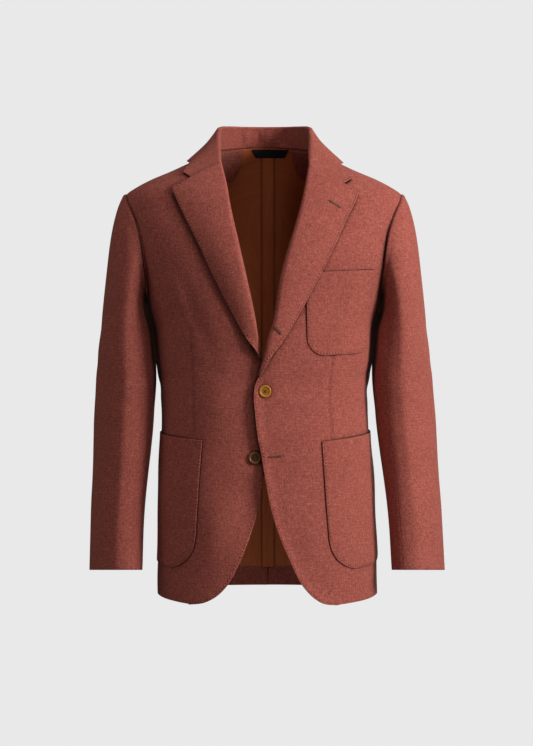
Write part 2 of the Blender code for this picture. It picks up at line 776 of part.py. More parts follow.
def tubePoint(turn, z):
    # The sleeve below its cap: turn 0 is the outer side and a quarter turn is the front.
    x = along(sleeveSections, "z", "x", z) + along(sleeveSections, "z", "halfWidth", z) * np.cos(turn)
    y = along(sleeveSections, "z", "y", z) - along(sleeveSections, "z", "halfDepth", z) * np.sin(turn)
    return np.stack([x, y, z], axis=-1)


def sleeveFoldDepth(turn, z):
    depth = np.zeros(np.broadcast(turn, z).shape)
    for index in range(len(sleeveFolds["z"])):
        around = (turn - np.radians(sleeveFolds["degrees"][index]) + math.pi) % (2 * math.pi) - math.pi
        around = around * 0.06
        height = z - sleeveFolds["z"][index] - sleeveFolds["slope"][index] * around
        shape = np.exp(-(height / sleeveFolds["width"][index]) ** 2
                       - (around / sleeveFolds["length"][index]) ** 2)
        depth = depth + sleeveFolds["depth"][index] * shape
    return depth


def sleevePoint(turn, share):
    # share 0 is the armhole seam, 1 the start of the tube and 2 the cuff.
    start = armholePoint(turn)
    seam = bodyPoint(start[..., 0], start[..., 1])
    seam[..., 0] -= centreX(seam[..., 2])
    step = 0.004
    end = tubePoint(turn, np.full(turn.shape, capZ))
    below = tubePoint(turn, np.full(turn.shape, capZ - step))
    leave = np.stack([
        0.055 + 0.027 * np.cos(turn),
        -0.030 * np.sin(turn),
        -0.020 - 0.040 * np.sin(turn) ** 2,
    ], axis=-1)
    distance = np.linalg.norm(end - seam, axis=-1, keepdims=True)
    arrive = (below - end) / step * distance * 0.85
    t = np.clip(share, 0, 1)[..., None]
    cap = (seam * (1 + 2 * t) * (1 - t) ** 2 + leave * t * (1 - t) ** 2
           + end * t * t * (3 - 2 * t) + arrive * t * t * (t - 1))
    down = capZ + (cuffZ - capZ) * np.clip(share - 1, 0, 1)
    made = np.where((share > 1)[..., None], tubePoint(turn, down), cap)
    made[..., 0] += centreX(made[..., 2])
    return made


def sleeveShell(turn, share, lift):
    # The sleeve's face with its creases pressed in, moved along its normal by the lift.
    step = 0.004
    round_ = sleevePoint(turn + step, share) - sleevePoint(turn - step, share)
    fall = sleevePoint(turn, np.minimum(share + step, 2)) - sleevePoint(turn, np.maximum(share - step, 0))
    normal = unit(np.cross(round_, fall))
    point = sleevePoint(turn, share)
    push = lift - sleeveFoldDepth(turn, point[..., 2])
    return point + normal * push[..., None]


def armholeTurns():
    # Turns of the armhole's points, shared by the panels round it and the sleeve.
    return np.concatenate([
        np.linspace(0, frontSeamTurn, armholeCells + 1)[:-1],
        np.linspace(frontSeamTurn, backSeamTurn, underarmCells + 1)[:-1],
        np.linspace(backSeamTurn, 2 * math.pi, armholeCells + 1),
    ])


def mirrored(points):
    made = points.copy()
    lean = centreX(points[..., 2])
    made[..., 0] = 2 * lean - made[..., 0]
    return made


def makeSleeve(side):
    turns = armholeTurns()
    frontSeam = armholeCells - 1
    backSeam = armholeCells + underarmCells + 1
    under = turns[frontSeam:backSeam + 1]
    upper = np.concatenate([turns[backSeam:-1] - 2 * math.pi, turns[:frontSeam + 1]])
    shares = np.concatenate([np.linspace(0, 1, capRows + 1), np.linspace(1, 2, sleeveRows + 1)[1:]])
    shares[0] = 0.0012
    for name, columns in (("top_sleeve_", upper), ("under_sleeve_", under)):
        turn, share = np.meshgrid(columns, shares)
        face = sleeveShell(turn, share, np.zeros(turn.shape))
        reverse = sleeveShell(turn, share, np.full(turn.shape, -clothWall))
        if side == "right":
            face = mirrored(face)
            reverse = mirrored(reverse)
        wall(name + side, pulledIn(face), pulledIn(reverse), rustFlannel)


# ---- pockets, lining and label -------------------------------------------------------------


def angleAlong(startAngle, z, distance, sign):
    # Direction reached after going a distance round the body's section at height z.
    fine = np.linspace(0, 2.0, 240)
    made = np.empty_like(z)
    for index in np.ndindex(z.shape):
        angles = startAngle[index] + sign * fine
        ring = bodyPoint(angles, np.full_like(angles, z[index]))
        gone = np.concatenate([[0], np.cumsum(np.linalg.norm(np.diff(ring, axis=0), axis=1))])
        made[index] = np.interp(distance[index], gone, angles)
    return made


def makePocket(name):
    size = pockets[name]
    sign = 1 if size["x"] > 0 else -1
    across = size["width"] * np.linspace(0, 1, pocketColumns + 1)
    frontGap = np.maximum(size["corner"] - across, 0)
    backGap = np.maximum(across - (size["width"] - size["backCorner"]), 0)
    frontCut = size["corner"] - np.sqrt(size["corner"] ** 2 - frontGap ** 2)
    backCut = size["backCorner"] - np.sqrt(size["backCorner"] ** 2 - backGap ** 2)
    length = size["depth"] - frontCut - backCut
    down = np.linspace(0, 1, pocketRows + 1)[:, None] * length[None]
    side = across[None] + size["lean"] * down
    z = size["z"] + size["rise"] * across[None] - down
    start = angleAtX(np.full_like(z, size["x"]), z)
    cells = np.stack([angleAlong(start, z, side, sign), z], axis=-1)
    bodyWall(name, cells, np.full(z.shape, layerGap + pocketWall), pocketWall, rustFlannel)


def innerGrid(lift):
    # Points of the back from the wearer's right to the left, as wide as its neck, at a lift from its face.
    cells = backCells()[:, :neckColumns + 1]
    halves = [onBody(half[..., 0], half[..., 1], np.full(half.shape[:2], lift))
              for half in (rightCoat(cells)[:, :0:-1], cells)]
    return np.concatenate(halves, axis=1)


def acrossAt(line, x):
    # Points at the given x on a line of points that runs in +x.
    return np.stack([np.interp(x, line[:, 0], line[:, axis]) for axis in range(3)], axis=-1)


def overlay(name, pointsOn, thickness, finish):
    # Skin inside the lining, made from the lining's own points moved in.
    face = pointsOn(innerGrid(facingLift))
    reverse = pointsOn(innerGrid(facingLift - thickness))
    wall(name, pulledIn(face), pulledIn(reverse), finish)


def stripPoints(grid):
    places = np.array([stripRight, centreX(0.0), stripLeft])
    return np.array([acrossAt(row, places) for row in grid[1:-1]])


def labelPoints(grid):
    # Two levels between the top rows, with a corner at each column that both pass.
    top, below = grid[-1], grid[-2]
    drop = top[neckColumns, 2] - below[neckColumns, 2]
    rows = []
    for level, slant in ((label["top"], 0.0), (label["top"] - label["height"], label["slant"])):
        line = top + (below - top) * (-level / drop)
        inside = line[neckColumns - 1:neckColumns + 3, 0]
        inside = inside[(inside > label["right"] + 0.010) & (inside < label["left"] - 0.010)]
        places = np.concatenate([[label["right"] + slant], inside, [label["left"] - slant]])
        rows.append(acrossAt(line, places))
    return np.array(rows)


def facingPoints(grid, side):
    # From the free edge out to the shoulder.
    rows = []
    for row in grid[-facingRows:]:
        freeX = along(facingEdge, "z", "x", row[neckColumns + 2, 2])
        if side == "left":
            freeX = 2 * facingMiddleX - freeX
            rest = row[neckColumns + facingColumn:]
        else:
            rest = row[neckColumns - facingColumn::-1]
        rows.append(np.concatenate([acrossAt(row, np.array([freeX])), rest]))
    return np.array(rows)


# ---- buttons -------------------------------------------------------------------------------

# Profile of a button from its centre back to its centre front: radius and height as shares of its size.
buttonProfile = table("radius height", [
    (0.00, 0.00),
    (0.70, 0.00),
    (0.93, 0.22),
    (1.00, 0.55),
    (0.96, 0.88),
    (0.86, 1.00),
    (0.74, 0.94),
    (0.62, 0.70),
    (0.00, 0.66),
])
buttonSides = 32


def makeButton(name):
    place = buttons[name]
    mesh = bpy.data.meshes.new(name)
    turned = bmesh.new()
    corners = [
        turned.verts.new((radius * buttonRadius, 0.0, height * buttonThickness))
        for radius, height in zip(buttonProfile["radius"], buttonProfile["height"])
    ]
    edges = [turned.edges.new((corners[i], corners[i + 1])) for i in range(len(corners) - 1)]
    bmesh.ops.spin(turned, geom=corners + edges, axis=(0, 0, 1), cent=(0, 0, 0), dvec=(0, 0, 0),
                   angle=2 * math.pi, steps=buttonSides, use_merge=True)
    bmesh.ops.remove_doubles(turned, verts=turned.verts, dist=1e-6)
    bmesh.ops.recalc_face_normals(turned, faces=turned.faces)
    turned.to_mesh(mesh)
    turned.free()
    mesh.materials.append(hornAmber)
    button = bpy.data.objects.new(name, mesh)
    bpy.context.collection.objects.link(button)
    angle = angleAtX(place["x"], place["z"])
    lift = place["lift"] + seamGap
    centre = onBody(np.array([angle]), np.array([place["z"]]), np.array([lift]))[0]
    normal = bodyNormal(np.array([angle]), np.array([place["z"]]))[0]
    across = np.cross((0, 0, 1), normal)
    across = across / np.linalg.norm(across)
    rise = np.cross(normal, across)
    button.matrix_world = Matrix((
        (across[0], rise[0], normal[0], centre[0]),
        (across[1], rise[1], normal[1], centre[1]),
        (across[2], rise[2], normal[2], centre[2]),
        (0, 0, 0, 1),
    ))
    for index in range(4):
        turn = math.radians(45 + 90 * index)
        drill = bmesh.new()
        bmesh.ops.create_cone(drill, segments=10, radius1=holeRadius, radius2=holeRadius,
                              depth=4 * buttonThickness, cap_ends=True)
        drillMesh = bpy.data.meshes.new(name + "_hole_" + str(index))
        drill.to_mesh(drillMesh)
        drill.free()
        cutter = bpy.data.objects.new(drillMesh.name, drillMesh)
        bpy.context.collection.objects.link(cutter)
        spread = holeSpacing * math.sqrt(2)
        local = Matrix.Translation((spread * math.cos(turn), spread * math.sin(turn), 0))
        cutter.matrix_world = button.matrix_world @ local
        cutter.hide_render = True
        cutter.display_type = "WIRE"
        hole = button.modifiers.new("hole_" + str(index), "BOOLEAN")
        hole.operation = "DIFFERENCE"
        hole.object = cutter


for coatSide in ("left", "right"):
    makeFront(coatSide)
    makeSide(coatSide)
    makeBack(coatSide)
    makeLapel(coatSide)
    makeSleeve(coatSide)
    overlay("neck_facing_" + coatSide, lambda grid: facingPoints(grid, coatSide), liningWall, rustFlannel)
makeCollar()
for pocketName in pockets:
    makePocket(pocketName)
overlay("lining_strip", stripPoints, liningWall, brownLining)
overlay("neck_label", labelPoints, label["wall"], navyTape)
for buttonName in buttons:
    makeButton(buttonName)
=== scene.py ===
import json
import math

import bpy
import numpy as np
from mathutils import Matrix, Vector

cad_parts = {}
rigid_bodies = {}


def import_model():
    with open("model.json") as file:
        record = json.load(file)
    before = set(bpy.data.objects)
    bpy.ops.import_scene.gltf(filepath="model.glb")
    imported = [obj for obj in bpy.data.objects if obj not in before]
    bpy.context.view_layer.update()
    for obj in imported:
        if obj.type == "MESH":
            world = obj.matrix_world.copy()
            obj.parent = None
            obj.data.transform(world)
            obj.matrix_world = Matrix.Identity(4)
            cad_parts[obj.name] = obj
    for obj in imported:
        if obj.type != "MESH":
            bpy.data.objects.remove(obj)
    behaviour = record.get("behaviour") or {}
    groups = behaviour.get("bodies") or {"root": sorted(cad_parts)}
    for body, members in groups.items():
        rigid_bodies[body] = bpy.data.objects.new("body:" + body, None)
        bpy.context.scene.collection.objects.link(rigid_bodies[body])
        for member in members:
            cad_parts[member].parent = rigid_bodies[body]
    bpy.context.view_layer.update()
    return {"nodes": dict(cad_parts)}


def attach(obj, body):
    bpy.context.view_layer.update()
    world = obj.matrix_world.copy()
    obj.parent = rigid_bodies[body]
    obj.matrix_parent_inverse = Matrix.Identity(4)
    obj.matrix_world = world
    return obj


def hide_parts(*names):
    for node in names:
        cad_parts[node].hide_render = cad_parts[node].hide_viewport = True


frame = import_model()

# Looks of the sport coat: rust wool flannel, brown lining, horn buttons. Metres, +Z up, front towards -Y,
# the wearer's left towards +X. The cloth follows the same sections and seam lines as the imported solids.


print("frame loaded:", len(frame["nodes"]), "nodes")

# Camera level with the coat's middle, long lens, as in the photo.
photoView = {"distance": 3.3, "height": -0.388, "lens": 94.8, "sensor": 36, "farEnd": 50}
# Studio: one soft key on the wearer's left, weak fills, and a pale sweep that only the camera sees.
studio = {
    "aim": (0, 0, -0.36), "ambient": 0.105, "air": "#FFF0EA", "pale": "#E9E9E9", "floor": -1.35, "sweepSides": 64,
    # the sweep's outline: how far out, how high above the floor
    "sweep": [(0.001, 0), (2.0, 0), (4.0, 0), (5.0, 0.1), (5.6, 0.4), (5.9, 0.9), (6.0, 1.6), (6.0, 9.0)],
    # name, degrees round from the front, degrees up, distance, size, power
    "lamps": [
        ("key", 60, 21, 3.0, 1.0, 93), ("fill_side", -75, 25, 3.0, 1.5, 10), ("top", 20, 70, 3.0, 1.2, 16),
        ("fill_front", 9, 4, 3.6, 0.7, 3), ("floor_bounce", 5, -32, 2.6, 1.2, 5),
        ("rim_back", 160, 20, 3.0, 1.5, 10), ("fill_back", 166, 3, 3.2, 1.4, 42),
    ],
}


def linear(hexCode):
    # sRGB hex to linear: c/12.92 below 0.04045, else ((c + 0.055)/1.055)^2.4
    codes = np.array([int(hexCode[i:i + 2], 16) for i in (1, 3, 5)]) / 255
    return [float(c) for c in np.where(codes < 0.04045, codes / 12.92, ((codes + 0.055) / 1.055) ** 2.4)] + [1.0]


def wire(tree, node, settings):
    # Other nodes' outputs are linked to the node's sockets; values are set on its sockets or its own fields.
    for key, value in settings.items():
        if isinstance(value, bpy.types.Node):
            value = value.outputs[0]
        if isinstance(value, bpy.types.NodeSocket):
            tree.links.new(value, node.inputs[key])
        elif isinstance(key, int) or key in node.inputs:
            node.inputs[key].default_value = value
        else:
            setattr(node, key, value)
    return node


def addNode(tree, kind, settings):
    return wire(tree, tree.nodes.new("ShaderNode" + kind), settings)


def inScene(name, data):
    made = bpy.data.objects.new(name, data)
    bpy.context.scene.collection.objects.link(made)
    return made


cameraData = bpy.data.cameras.new("photo_camera")
cameraData.lens = photoView["lens"]
cameraData.sensor_width = photoView["sensor"]
cameraData.clip_end = photoView["farEnd"]
camera = inScene("photo_camera", cameraData)
camera.location = (0, -photoView["distance"], photoView["height"])
camera.rotation_euler = (math.pi / 2, 0, 0)
bpy.context.scene.camera = camera
bpy.context.scene.view_settings.view_transform = "Standard"

for lampName, degrees, risen, distance, size, power in studio["lamps"]:
    light = bpy.data.lights.new(lampName, "AREA")
    light.shape, light.size, light.energy = "DISK", size, power
    holder = inScene(lampName, light)
    turn, rise = math.radians(degrees), math.radians(risen)
    way = Vector((math.sin(turn) * math.cos(rise), -math.cos(turn) * math.cos(rise), math.sin(rise)))
    holder.location = Vector(studio["aim"]) + way * distance
    holder.rotation_euler = way.to_track_quat("Z", "Y").to_euler()

world = bpy.data.worlds.new("studio_air")
world.use_nodes = True
wire(world.node_tree, world.node_tree.nodes["Background"],
     {"Color": linear(studio["air"]), "Strength": studio["ambient"]})
bpy.context.scene.world = world


def stacked(*parts):
    return np.stack(np.broadcast_arrays(*parts), axis=-1)


def even(count, start=0, end=1):
    # The ends of so many equal steps.
    return np.linspace(start, end, count + 1)


def meshObject(name, points, cells, finish, maps=None):
    # A mesh from arrays of points and four-cornered cells, turned so that its volume is positive.
    corners = points[cells]
    volume = sum(np.sum(corners[:, 0] * np.cross(corners[:, b], corners[:, b + 1])) for b in (1, 2))
    if volume < 0:
        cells = cells[:, ::-1]
    mesh = bpy.data.meshes.new(name)
    mesh.vertices.add(len(points))
    mesh.vertices.foreach_set("co", points.astype(np.float32).ravel())
    mesh.loops.add(cells.size)
    mesh.loops.foreach_set("vertex_index", cells.ravel().astype(np.int32))
    mesh.polygons.add(len(cells))
    mesh.polygons.foreach_set("loop_start", np.arange(0, cells.size, 4, dtype=np.int32))
    mesh.update(calc_edges=True)
    for mapName, places in (maps or {}).items():
        layer = mesh.uv_layers.new(name=mapName)
        layer.data.foreach_set("uv", places[cells.ravel()].astype(np.float32).ravel())
    mesh.shade_smooth()
    mesh.materials.append(finish)
    return inScene(name, mesh)


def gridCells(rows, columns):
    # Corner numbers of a grid and of its cells.
    index = np.arange(rows * columns).reshape(rows, columns)
    cells = np.stack([index[:-1, :-1], index[:-1, 1:], index[1:, 1:], index[1:, :-1]], axis=-1)
    return index, cells.reshape(-1, 4)


# The sweep is a floor disc that curves up into a round wall.
paleMaterial = bpy.data.materials.new("pale_sweep")
paleMaterial.use_nodes = True
paleTree = paleMaterial.node_tree
paleTree.nodes.clear()
paleGlow = addNode(paleTree, "Emission", {"Color": linear(studio["pale"]), "Strength": 1.0})
addNode(paleTree, "OutputMaterial", {"Surface": paleGlow})
sweepOut, sweepUp = np.array(studio["sweep"]).T[..., None]
sweepTurns = even(studio["sweepSides"], 0, 2 * math.pi)
sweepPoints = stacked(sweepOut * np.cos(sweepTurns), sweepOut * np.sin(sweepTurns), studio["floor"] + sweepUp)
sweep = meshObject("pale_sweep", sweepPoints.reshape(-1, 3), gridCells(*sweepPoints.shape[:2])[1], paleMaterial)
for ray in ("visible_diffuse", "visible_glossy", "visible_shadow", "visible_transmission"):
    setattr(sweep, ray, False)
print("studio ready")


def table(names, rows):
    return dict(zip(names.split(), np.array(rows, float).T))


# Sizes shared by all the cloth, as in the solids. A band is the height where a change starts, and how far down
# it takes to be complete.
cloth = {
    "wall": 0.002, "liningWall": 0.001, "seamGap": 0.0003, "layerGap": 0.0009, "rimSteps": 3, "butt": -0.00040,
    "squareness": 2.25, "leanTop": -0.0045, "leanSlope": 0.015, "leanBelow": 0.35, "drapeBand": (-0.10, 0.08),
}
liningLift = -cloth["wall"] - cloth["seamGap"]
facingLift = liningLift - cloth["liningWall"] - cloth["layerGap"]
bodySections = table("z halfWidth front back", [
    (-0.79, 0.1852, 0.14, 0.126), (-0.7, 0.1831, 0.1395, 0.1255), (-0.62, 0.1808, 0.1385, 0.124),
    (-0.55, 0.1774, 0.136, 0.119), (-0.48, 0.173, 0.1335, 0.114), (-0.43, 0.1724, 0.132, 0.112),
    (-0.39, 0.1752, 0.1325, 0.114), (-0.345, 0.18, 0.135, 0.119), (-0.3, 0.1842, 0.1375, 0.125),
    (-0.27, 0.1935, 0.138, 0.129), (-0.24, 0.205, 0.137, 0.131), (-0.2, 0.222, 0.1345, 0.1315),
    (-0.16, 0.232, 0.128, 0.129), (-0.125, 0.237, 0.1185, 0.125), (-0.1, 0.235, 0.1105, 0.121),
    (-0.0873, 0.2285, 0.103, 0.118), (-0.0788, 0.2159, 0.0975, 0.116), (-0.0645, 0.189, 0.0885, 0.113),
    (-0.051, 0.157, 0.079, 0.109), (-0.0345, 0.1226, 0.066, 0.104), (-0.022, 0.0975, 0.055, 0.0985),
    (-0.012, 0.078, 0.045, 0.093), (0.0, 0.058, 0.033, 0.088), (0.012, 0.042, 0.023, 0.083),
])
hemLine = table("degrees z", [
    (0, -0.7638), (40, -0.7636), (60, -0.7605), (78, -0.7572), (110, -0.7565), (180, -0.7566),
])
# Front edges, roll lines and lapel edges as seen from the front, from the bottom up.
edges = {
    "right": table("z x", [
        (-0.7636, -0.1235), (-0.759, -0.099), (-0.7495, -0.0815), (-0.7318, -0.0638), (-0.706, -0.049),
        (-0.654, -0.028), (-0.6156, -0.016), (-0.57, -0.0073), (-0.527, -0.001), (-0.493, 0.005),
        (-0.43, 0.009), (-0.395, 0.006), (-0.376, -0.001), (-0.364, -0.009),
    ]),
    "left": table("z x", [
        (-0.7636, 0.1106), (-0.76, 0.09), (-0.751, 0.0755), (-0.738, 0.0629), (-0.7205, 0.0508),
        (-0.696, 0.0395), (-0.654, 0.0218), (-0.614, 0.0089), (-0.5655, -0.0008), (-0.527, -0.0073),
        (-0.493, -0.0137), (-0.457, -0.0178), (-0.422, -0.02), (-0.404, -0.0172), (-0.392, -0.011),
    ]),
}
rolls = {
    "right": table("z x", [
        (-0.364, -0.009), (-0.35, -0.0132), (-0.3074, -0.0219), (-0.2396, -0.0376), (-0.1826, -0.0506),
        (-0.1229, -0.0631), (-0.0767, -0.0705), (-0.0477, -0.0765),
    ]),
    "left": table("z x", [
        (-0.392, -0.011), (-0.375, -0.005), (-0.359, 0.0005), (-0.3315, 0.0077), (-0.3122, 0.015),
        (-0.2815, 0.0215), (-0.2346, 0.0295), (-0.2, 0.0385), (-0.163, 0.0492), (-0.129, 0.0583),
        (-0.0979, 0.0651), (-0.0535, 0.0718),
    ]),
}
lapelEdges = {
    "right": table("z x", [
        (-0.3637, -0.0125), (-0.352, -0.0175), (-0.3321, -0.0316), (-0.2918, -0.0543), (-0.2351, -0.0834),
        (-0.1758, -0.111), (-0.128, -0.135), (-0.0876, -0.154),
    ]),
    "left": table("z x", [
        (-0.3915, -0.007), (-0.3799, -0.0005), (-0.3621, 0.0075), (-0.3475, 0.0186), (-0.307, 0.0446),
        (-0.2422, 0.0802), (-0.1823, 0.11), (-0.1337, 0.132), (-0.106, 0.1455), (-0.0945, 0.1498),
    ]),
}
signs = {"left": 1, "right": -1}


def along(rows, column, at):
    # Cubic Hermite curve through one column of a table over its first column, with slopes from its neighbours.
    places, values = rows[next(iter(rows))], rows[column]
    slopes = np.gradient(values, places)
    at = np.clip(at, places[0], places[-1])
    cell = np.clip(np.searchsorted(places, at, side="right") - 1, 0, len(places) - 2)
    width = places[cell + 1] - places[cell]
    t = (at - places[cell]) / width
    start = values[cell] * (1 + 2 * t) * (1 - t) ** 2 + slopes[cell] * width * t * (1 - t) ** 2
    return start + values[cell + 1] * t * t * (3 - 2 * t) + slopes[cell + 1] * width * t * t * (t - 1)


def unit(vectors):
    return vectors / np.maximum(np.linalg.norm(vectors, axis=-1, keepdims=True), 1e-12)


def smooth(t):
    # 3t^2 - 2t^3 between 0 and 1
    t = np.clip(t, 0, 1)
    return t * t * (3 - 2 * t)


def below(z, band):
    # 0 above the band, smoothly up to 1 beneath it.
    return smooth((band[0] - z) / band[1])


def near(distance, reach):
    # exp(-(distance/reach)^2)
    return np.exp(-(distance / reach) ** 2)


def lengths(points, axis=0):
    # Length gone from the start along one axis of a grid of points.
    gone = np.cumsum(np.linalg.norm(np.diff(points, axis=axis), axis=-1), axis=axis)
    return np.concatenate([0 * np.take(gone, [0], axis), gone], axis)


def sizeAt(column, z):
    return along(bodySections, column, z)


def centreX(z):
    return cloth["leanTop"] + cloth["leanSlope"] * np.maximum(0.0, -z - cloth["leanBelow"])


def bodyPoint(angle, z):
    # Section at height z: |x/a|^n + |y/b|^n = 1, with b the reach forward or back.
    n = cloth["squareness"]
    reach = np.where(np.cos(angle) > 0, sizeAt("front", z), sizeAt("back", z))
    across, ahead = np.abs(np.sin(angle)) / sizeAt("halfWidth", z), np.abs(np.cos(angle)) / reach
    radius = (across ** n + ahead ** n) ** (-1 / n)
    return stacked(centreX(z) + radius * np.sin(angle), -radius * np.cos(angle), z)


def bodyNormal(angle, z):
    step = 0.002
    around = bodyPoint(angle + step, z) - bodyPoint(angle - step, z)
    return unit(np.cross(around, bodyPoint(angle, z + step) - bodyPoint(angle, z - step)))


def onBody(angle, z, lift):
    return bodyPoint(angle, z) + bodyNormal(angle, z) * np.asarray(lift)[..., None]


def otherHalf(at, reach, other):
    # The section's other half size at a place on this one: other (1 - |at/reach|^n)^(1/n)
    n = cloth["squareness"]
    return other * (1 - np.minimum(np.abs(at) / reach, 0.999) ** n) ** (1 / n)


def angleAtX(x, z, part="front"):
    half = x - centreX(z)
    ahead = otherHalf(half, sizeAt("halfWidth", z), sizeAt(part, z))
    return np.arctan2(half, ahead if part == "front" else -ahead)


def angleAtY(y, z):
    reach = np.where(y < 0, sizeAt("front", z), sizeAt("back", z))
    return np.arctan2(otherHalf(y, reach, sizeAt("halfWidth", z)), -y)


def onFront(places, lift=0.0):
    # Spots of the front at (x, z) as seen from the front.
    x, z = places[..., 0], places[..., 1]
    return onBody(angleAtX(x, z), z, lift)


armhole = {"middleZ": -0.181, "half": 0.0937, "front": 0.072, "back": 0.075}
# Steps of the sums and searches below.
accuracy = {"curve": 1599, "arc": 39, "walk": 119, "walkTurn": 1.6, "step": 0.001, "rounds": 16, "damping": 0.7,
            "stitchStep": 0.0015}


def armholePoint(turn):
    # Egg in the side view: y = -reach sin(turn), z = middle + half cos(turn).
    y = -np.where(np.sin(turn) > 0, armhole["front"], armhole["back"]) * np.sin(turn)
    z = armhole["middleZ"] + armhole["half"] * np.cos(turn)
    return stacked(angleAtY(y, z), z)


def spaced(points, count):
    # Points evenly spaced by length on a smooth curve through the given ones.
    points = np.asarray(points, float)
    gone = lengths(points)
    columns = {"gone": gone, 0: points[:, 0], 1: points[:, 1]}
    fine = even(accuracy["curve"], 0, gone[-1])
    curve = stacked(along(columns, 0, fine), along(columns, 1, fine))
    length = lengths(curve)
    return stacked(*(np.interp(length[-1] * even(count), length, column) for column in curve.T))


def rowsOf(lines, count):
    return spaced(stacked(lines["x"], lines["z"]), count)


def toAngles(points):
    return stacked(angleAtX(*points.T), points[:, 1])


def filled(bottom, top, inner, outer):
    # Coons patch: (1-v)bottom + v top + (1-u)inner + u outer - the blend of the four corners.
    u, v = even(len(bottom) - 1)[None, :, None], even(len(inner) - 1)[:, None, None]
    corners = (1 - v) * ((1 - u) * bottom[0] + u * bottom[-1]) + v * ((1 - u) * top[0] + u * top[-1])
    return (1 - v) * bottom[None] + v * top[None] + (1 - u) * inner[:, None] + u * outer[:, None] - corners


def behindPoints(points, cells, degrees, rise):
    # (angle, z) of the body's spots behind the points, seen from one direction: damped Newton steps in that view.
    turn = math.radians(degrees)
    view = unit(np.array([math.sin(turn), -math.cos(turn), rise]))
    step = accuracy["step"]

    def flat(vectors):
        return vectors - np.sum(vectors * view, axis=-1, keepdims=True) * view

    for _ in range(accuracy["rounds"]):
        angle, z = cells[..., 0], cells[..., 1]
        around = flat(bodyPoint(angle + step, z) - bodyPoint(angle - step, z)) / (2 * step)
        up = flat(bodyPoint(angle, z + step) - bodyPoint(angle, z - step)) / (2 * step)
        off = flat(points - bodyPoint(angle, z))
        aa, bb, ab, a, b = (np.sum(p * q, axis=-1) for p, q in (
            (around, around), (up, up), (around, up), (off, around), (off, up)))
        moves = stacked(bb * a - ab * b, aa * b - ab * a) / (aa * bb - ab * ab)[..., None]
        cells = cells + accuracy["damping"] * moves
    return cells


def patch(bottom, top, inner, outer, facing, innerPoints=None):
    # A panel between its borders: the points of the filled space, and the body's cells behind them.
    borders = [bottom, top, inner, outer]
    points = [bodyPoint(*line.T) for line in borders]
    if innerPoints is not None:
        points[2] = innerPoints
    straight = filled(*points)
    return straight, behindPoints(straight, filled(*borders), *facing)


def arcAround(angle, z):
    # Length of the section's outline from the centre front to the angle.
    ring = bodyPoint(np.asarray(angle)[..., None] * even(accuracy["arc"]), np.asarray(z)[..., None])
    return np.sign(angle) * lengths(ring, ring.ndim - 2)[..., -1]


def aroundFrom(start, z, distance, sign):
    # Angle reached after a walk of the given length round the section.
    fine = even(accuracy["walk"], 0, accuracy["walkTurn"])
    ring = bodyPoint(start[..., None] + sign * fine, z[..., None])
    gone = lengths(ring, ring.ndim - 2)
    cell = np.clip((gone < distance[..., None]).sum(-1) - 1, 0, len(fine) - 2)
    low, high = (np.take_along_axis(gone, cell[..., None] + k, -1)[..., 0] for k in (0, 1))
    return start + sign * (fine[cell] + (distance - low) / (high - low) * (fine[1] - fine[0]))


# Creases and swellings of the worn coat: degrees round, z, depth (a ridge is positive), length, width and tilt in
# degrees from the horizontal. They are uneven, and run on over the sides and the back.
bodyFolds = [
    (92, -0.31, 0.0092, 0.078, 0.038, 90), (-92, -0.322, 0.0066, 0.078, 0.038, -90),
    (14, -0.405, -0.0016, 0.055, 0.012, 14), (16, -0.436, 0.0012, 0.05, 0.011, -8),
    (-16, -0.4, -0.0014, 0.06, 0.013, -16), (-20, -0.44, 0.0012, 0.055, 0.012, 6),
    (44, -0.3, -0.0022, 0.06, 0.016, 62), (-44, -0.296, -0.0024, 0.062, 0.015, -64),
    (52, -0.262, 0.0018, 0.045, 0.012, 70), (-53, -0.258, 0.0018, 0.045, 0.012, -68),
    (70, -0.395, -0.0026, 0.055, 0.013, 12), (-68, -0.392, -0.0024, 0.05, 0.013, -14),
    (96, -0.42, -0.0028, 0.06, 0.014, -8), (-98, -0.416, -0.0028, 0.06, 0.014, 10),
    (150, -0.4, -0.003, 0.08, 0.016, -6), (-148, -0.408, -0.0028, 0.08, 0.016, 7),
    (170, -0.442, -0.0022, 0.09, 0.014, 3), (-166, -0.372, -0.002, 0.07, 0.015, -4),
    (128, -0.23, -0.003, 0.07, 0.016, 68), (-129, -0.234, -0.003, 0.07, 0.016, -66),
    (44, -0.655, 0.0008, 0.11, 0.034, 86), (-34, -0.64, 0.002, 0.11, 0.028, -85),
    (140, -0.64, 0.003, 0.13, 0.032, 88), (-138, -0.65, 0.003, 0.13, 0.03, -87),
]
# Long low waves: length, direction in degrees, phase, height.
clothWaves = [
    (0.21, 20, 0.3, 0.0007), (0.15, 75, 1.9, 0.0006), (0.096, 120, 4.1, 0.0004), (0.07, 160, 2.6, 0.0003),
]


def waved(across, up):
    # Sum of height sin(2 pi s / length + phase), with s along each wave's own direction.
    total = 0.0
    for length, degrees, phase, height in clothWaves:
        turn = math.radians(degrees)
        s = across * math.cos(turn) + up * math.sin(turn)
        total = total + height * np.sin(2 * math.pi * s / length + phase)
    return total


def drape(arc, z):
    # The waves and the sum of depth exp(-(p/width)^2 - (q/length)^2), with q along the fold and p square to it;
    # fades out at the shoulders, where the cloth lies smooth.
    total = waved(arc, z)
    for degrees, height, depth, length, width, tilt in bodyFolds:
        turn = math.radians(tilt)
        a, b = arc - arcAround(math.radians(degrees), height), z - height
        p, q = b * math.cos(turn) - a * math.sin(turn), a * math.cos(turn) + b * math.sin(turn)
        total = total + depth * np.exp(-(p / width) ** 2 - (q / length) ** 2)
    return total * below(z, cloth["drapeBand"])


def principled(name, settings):
    made = bpy.data.materials.new(name)
    made.use_nodes = True
    tree = made.node_tree
    return made, tree, wire(tree, tree.nodes["Principled BSDF"], settings)


def maths(tree, operation, *values):
    return addNode(tree, "Math", {"operation": operation, **dict(enumerate(values))})


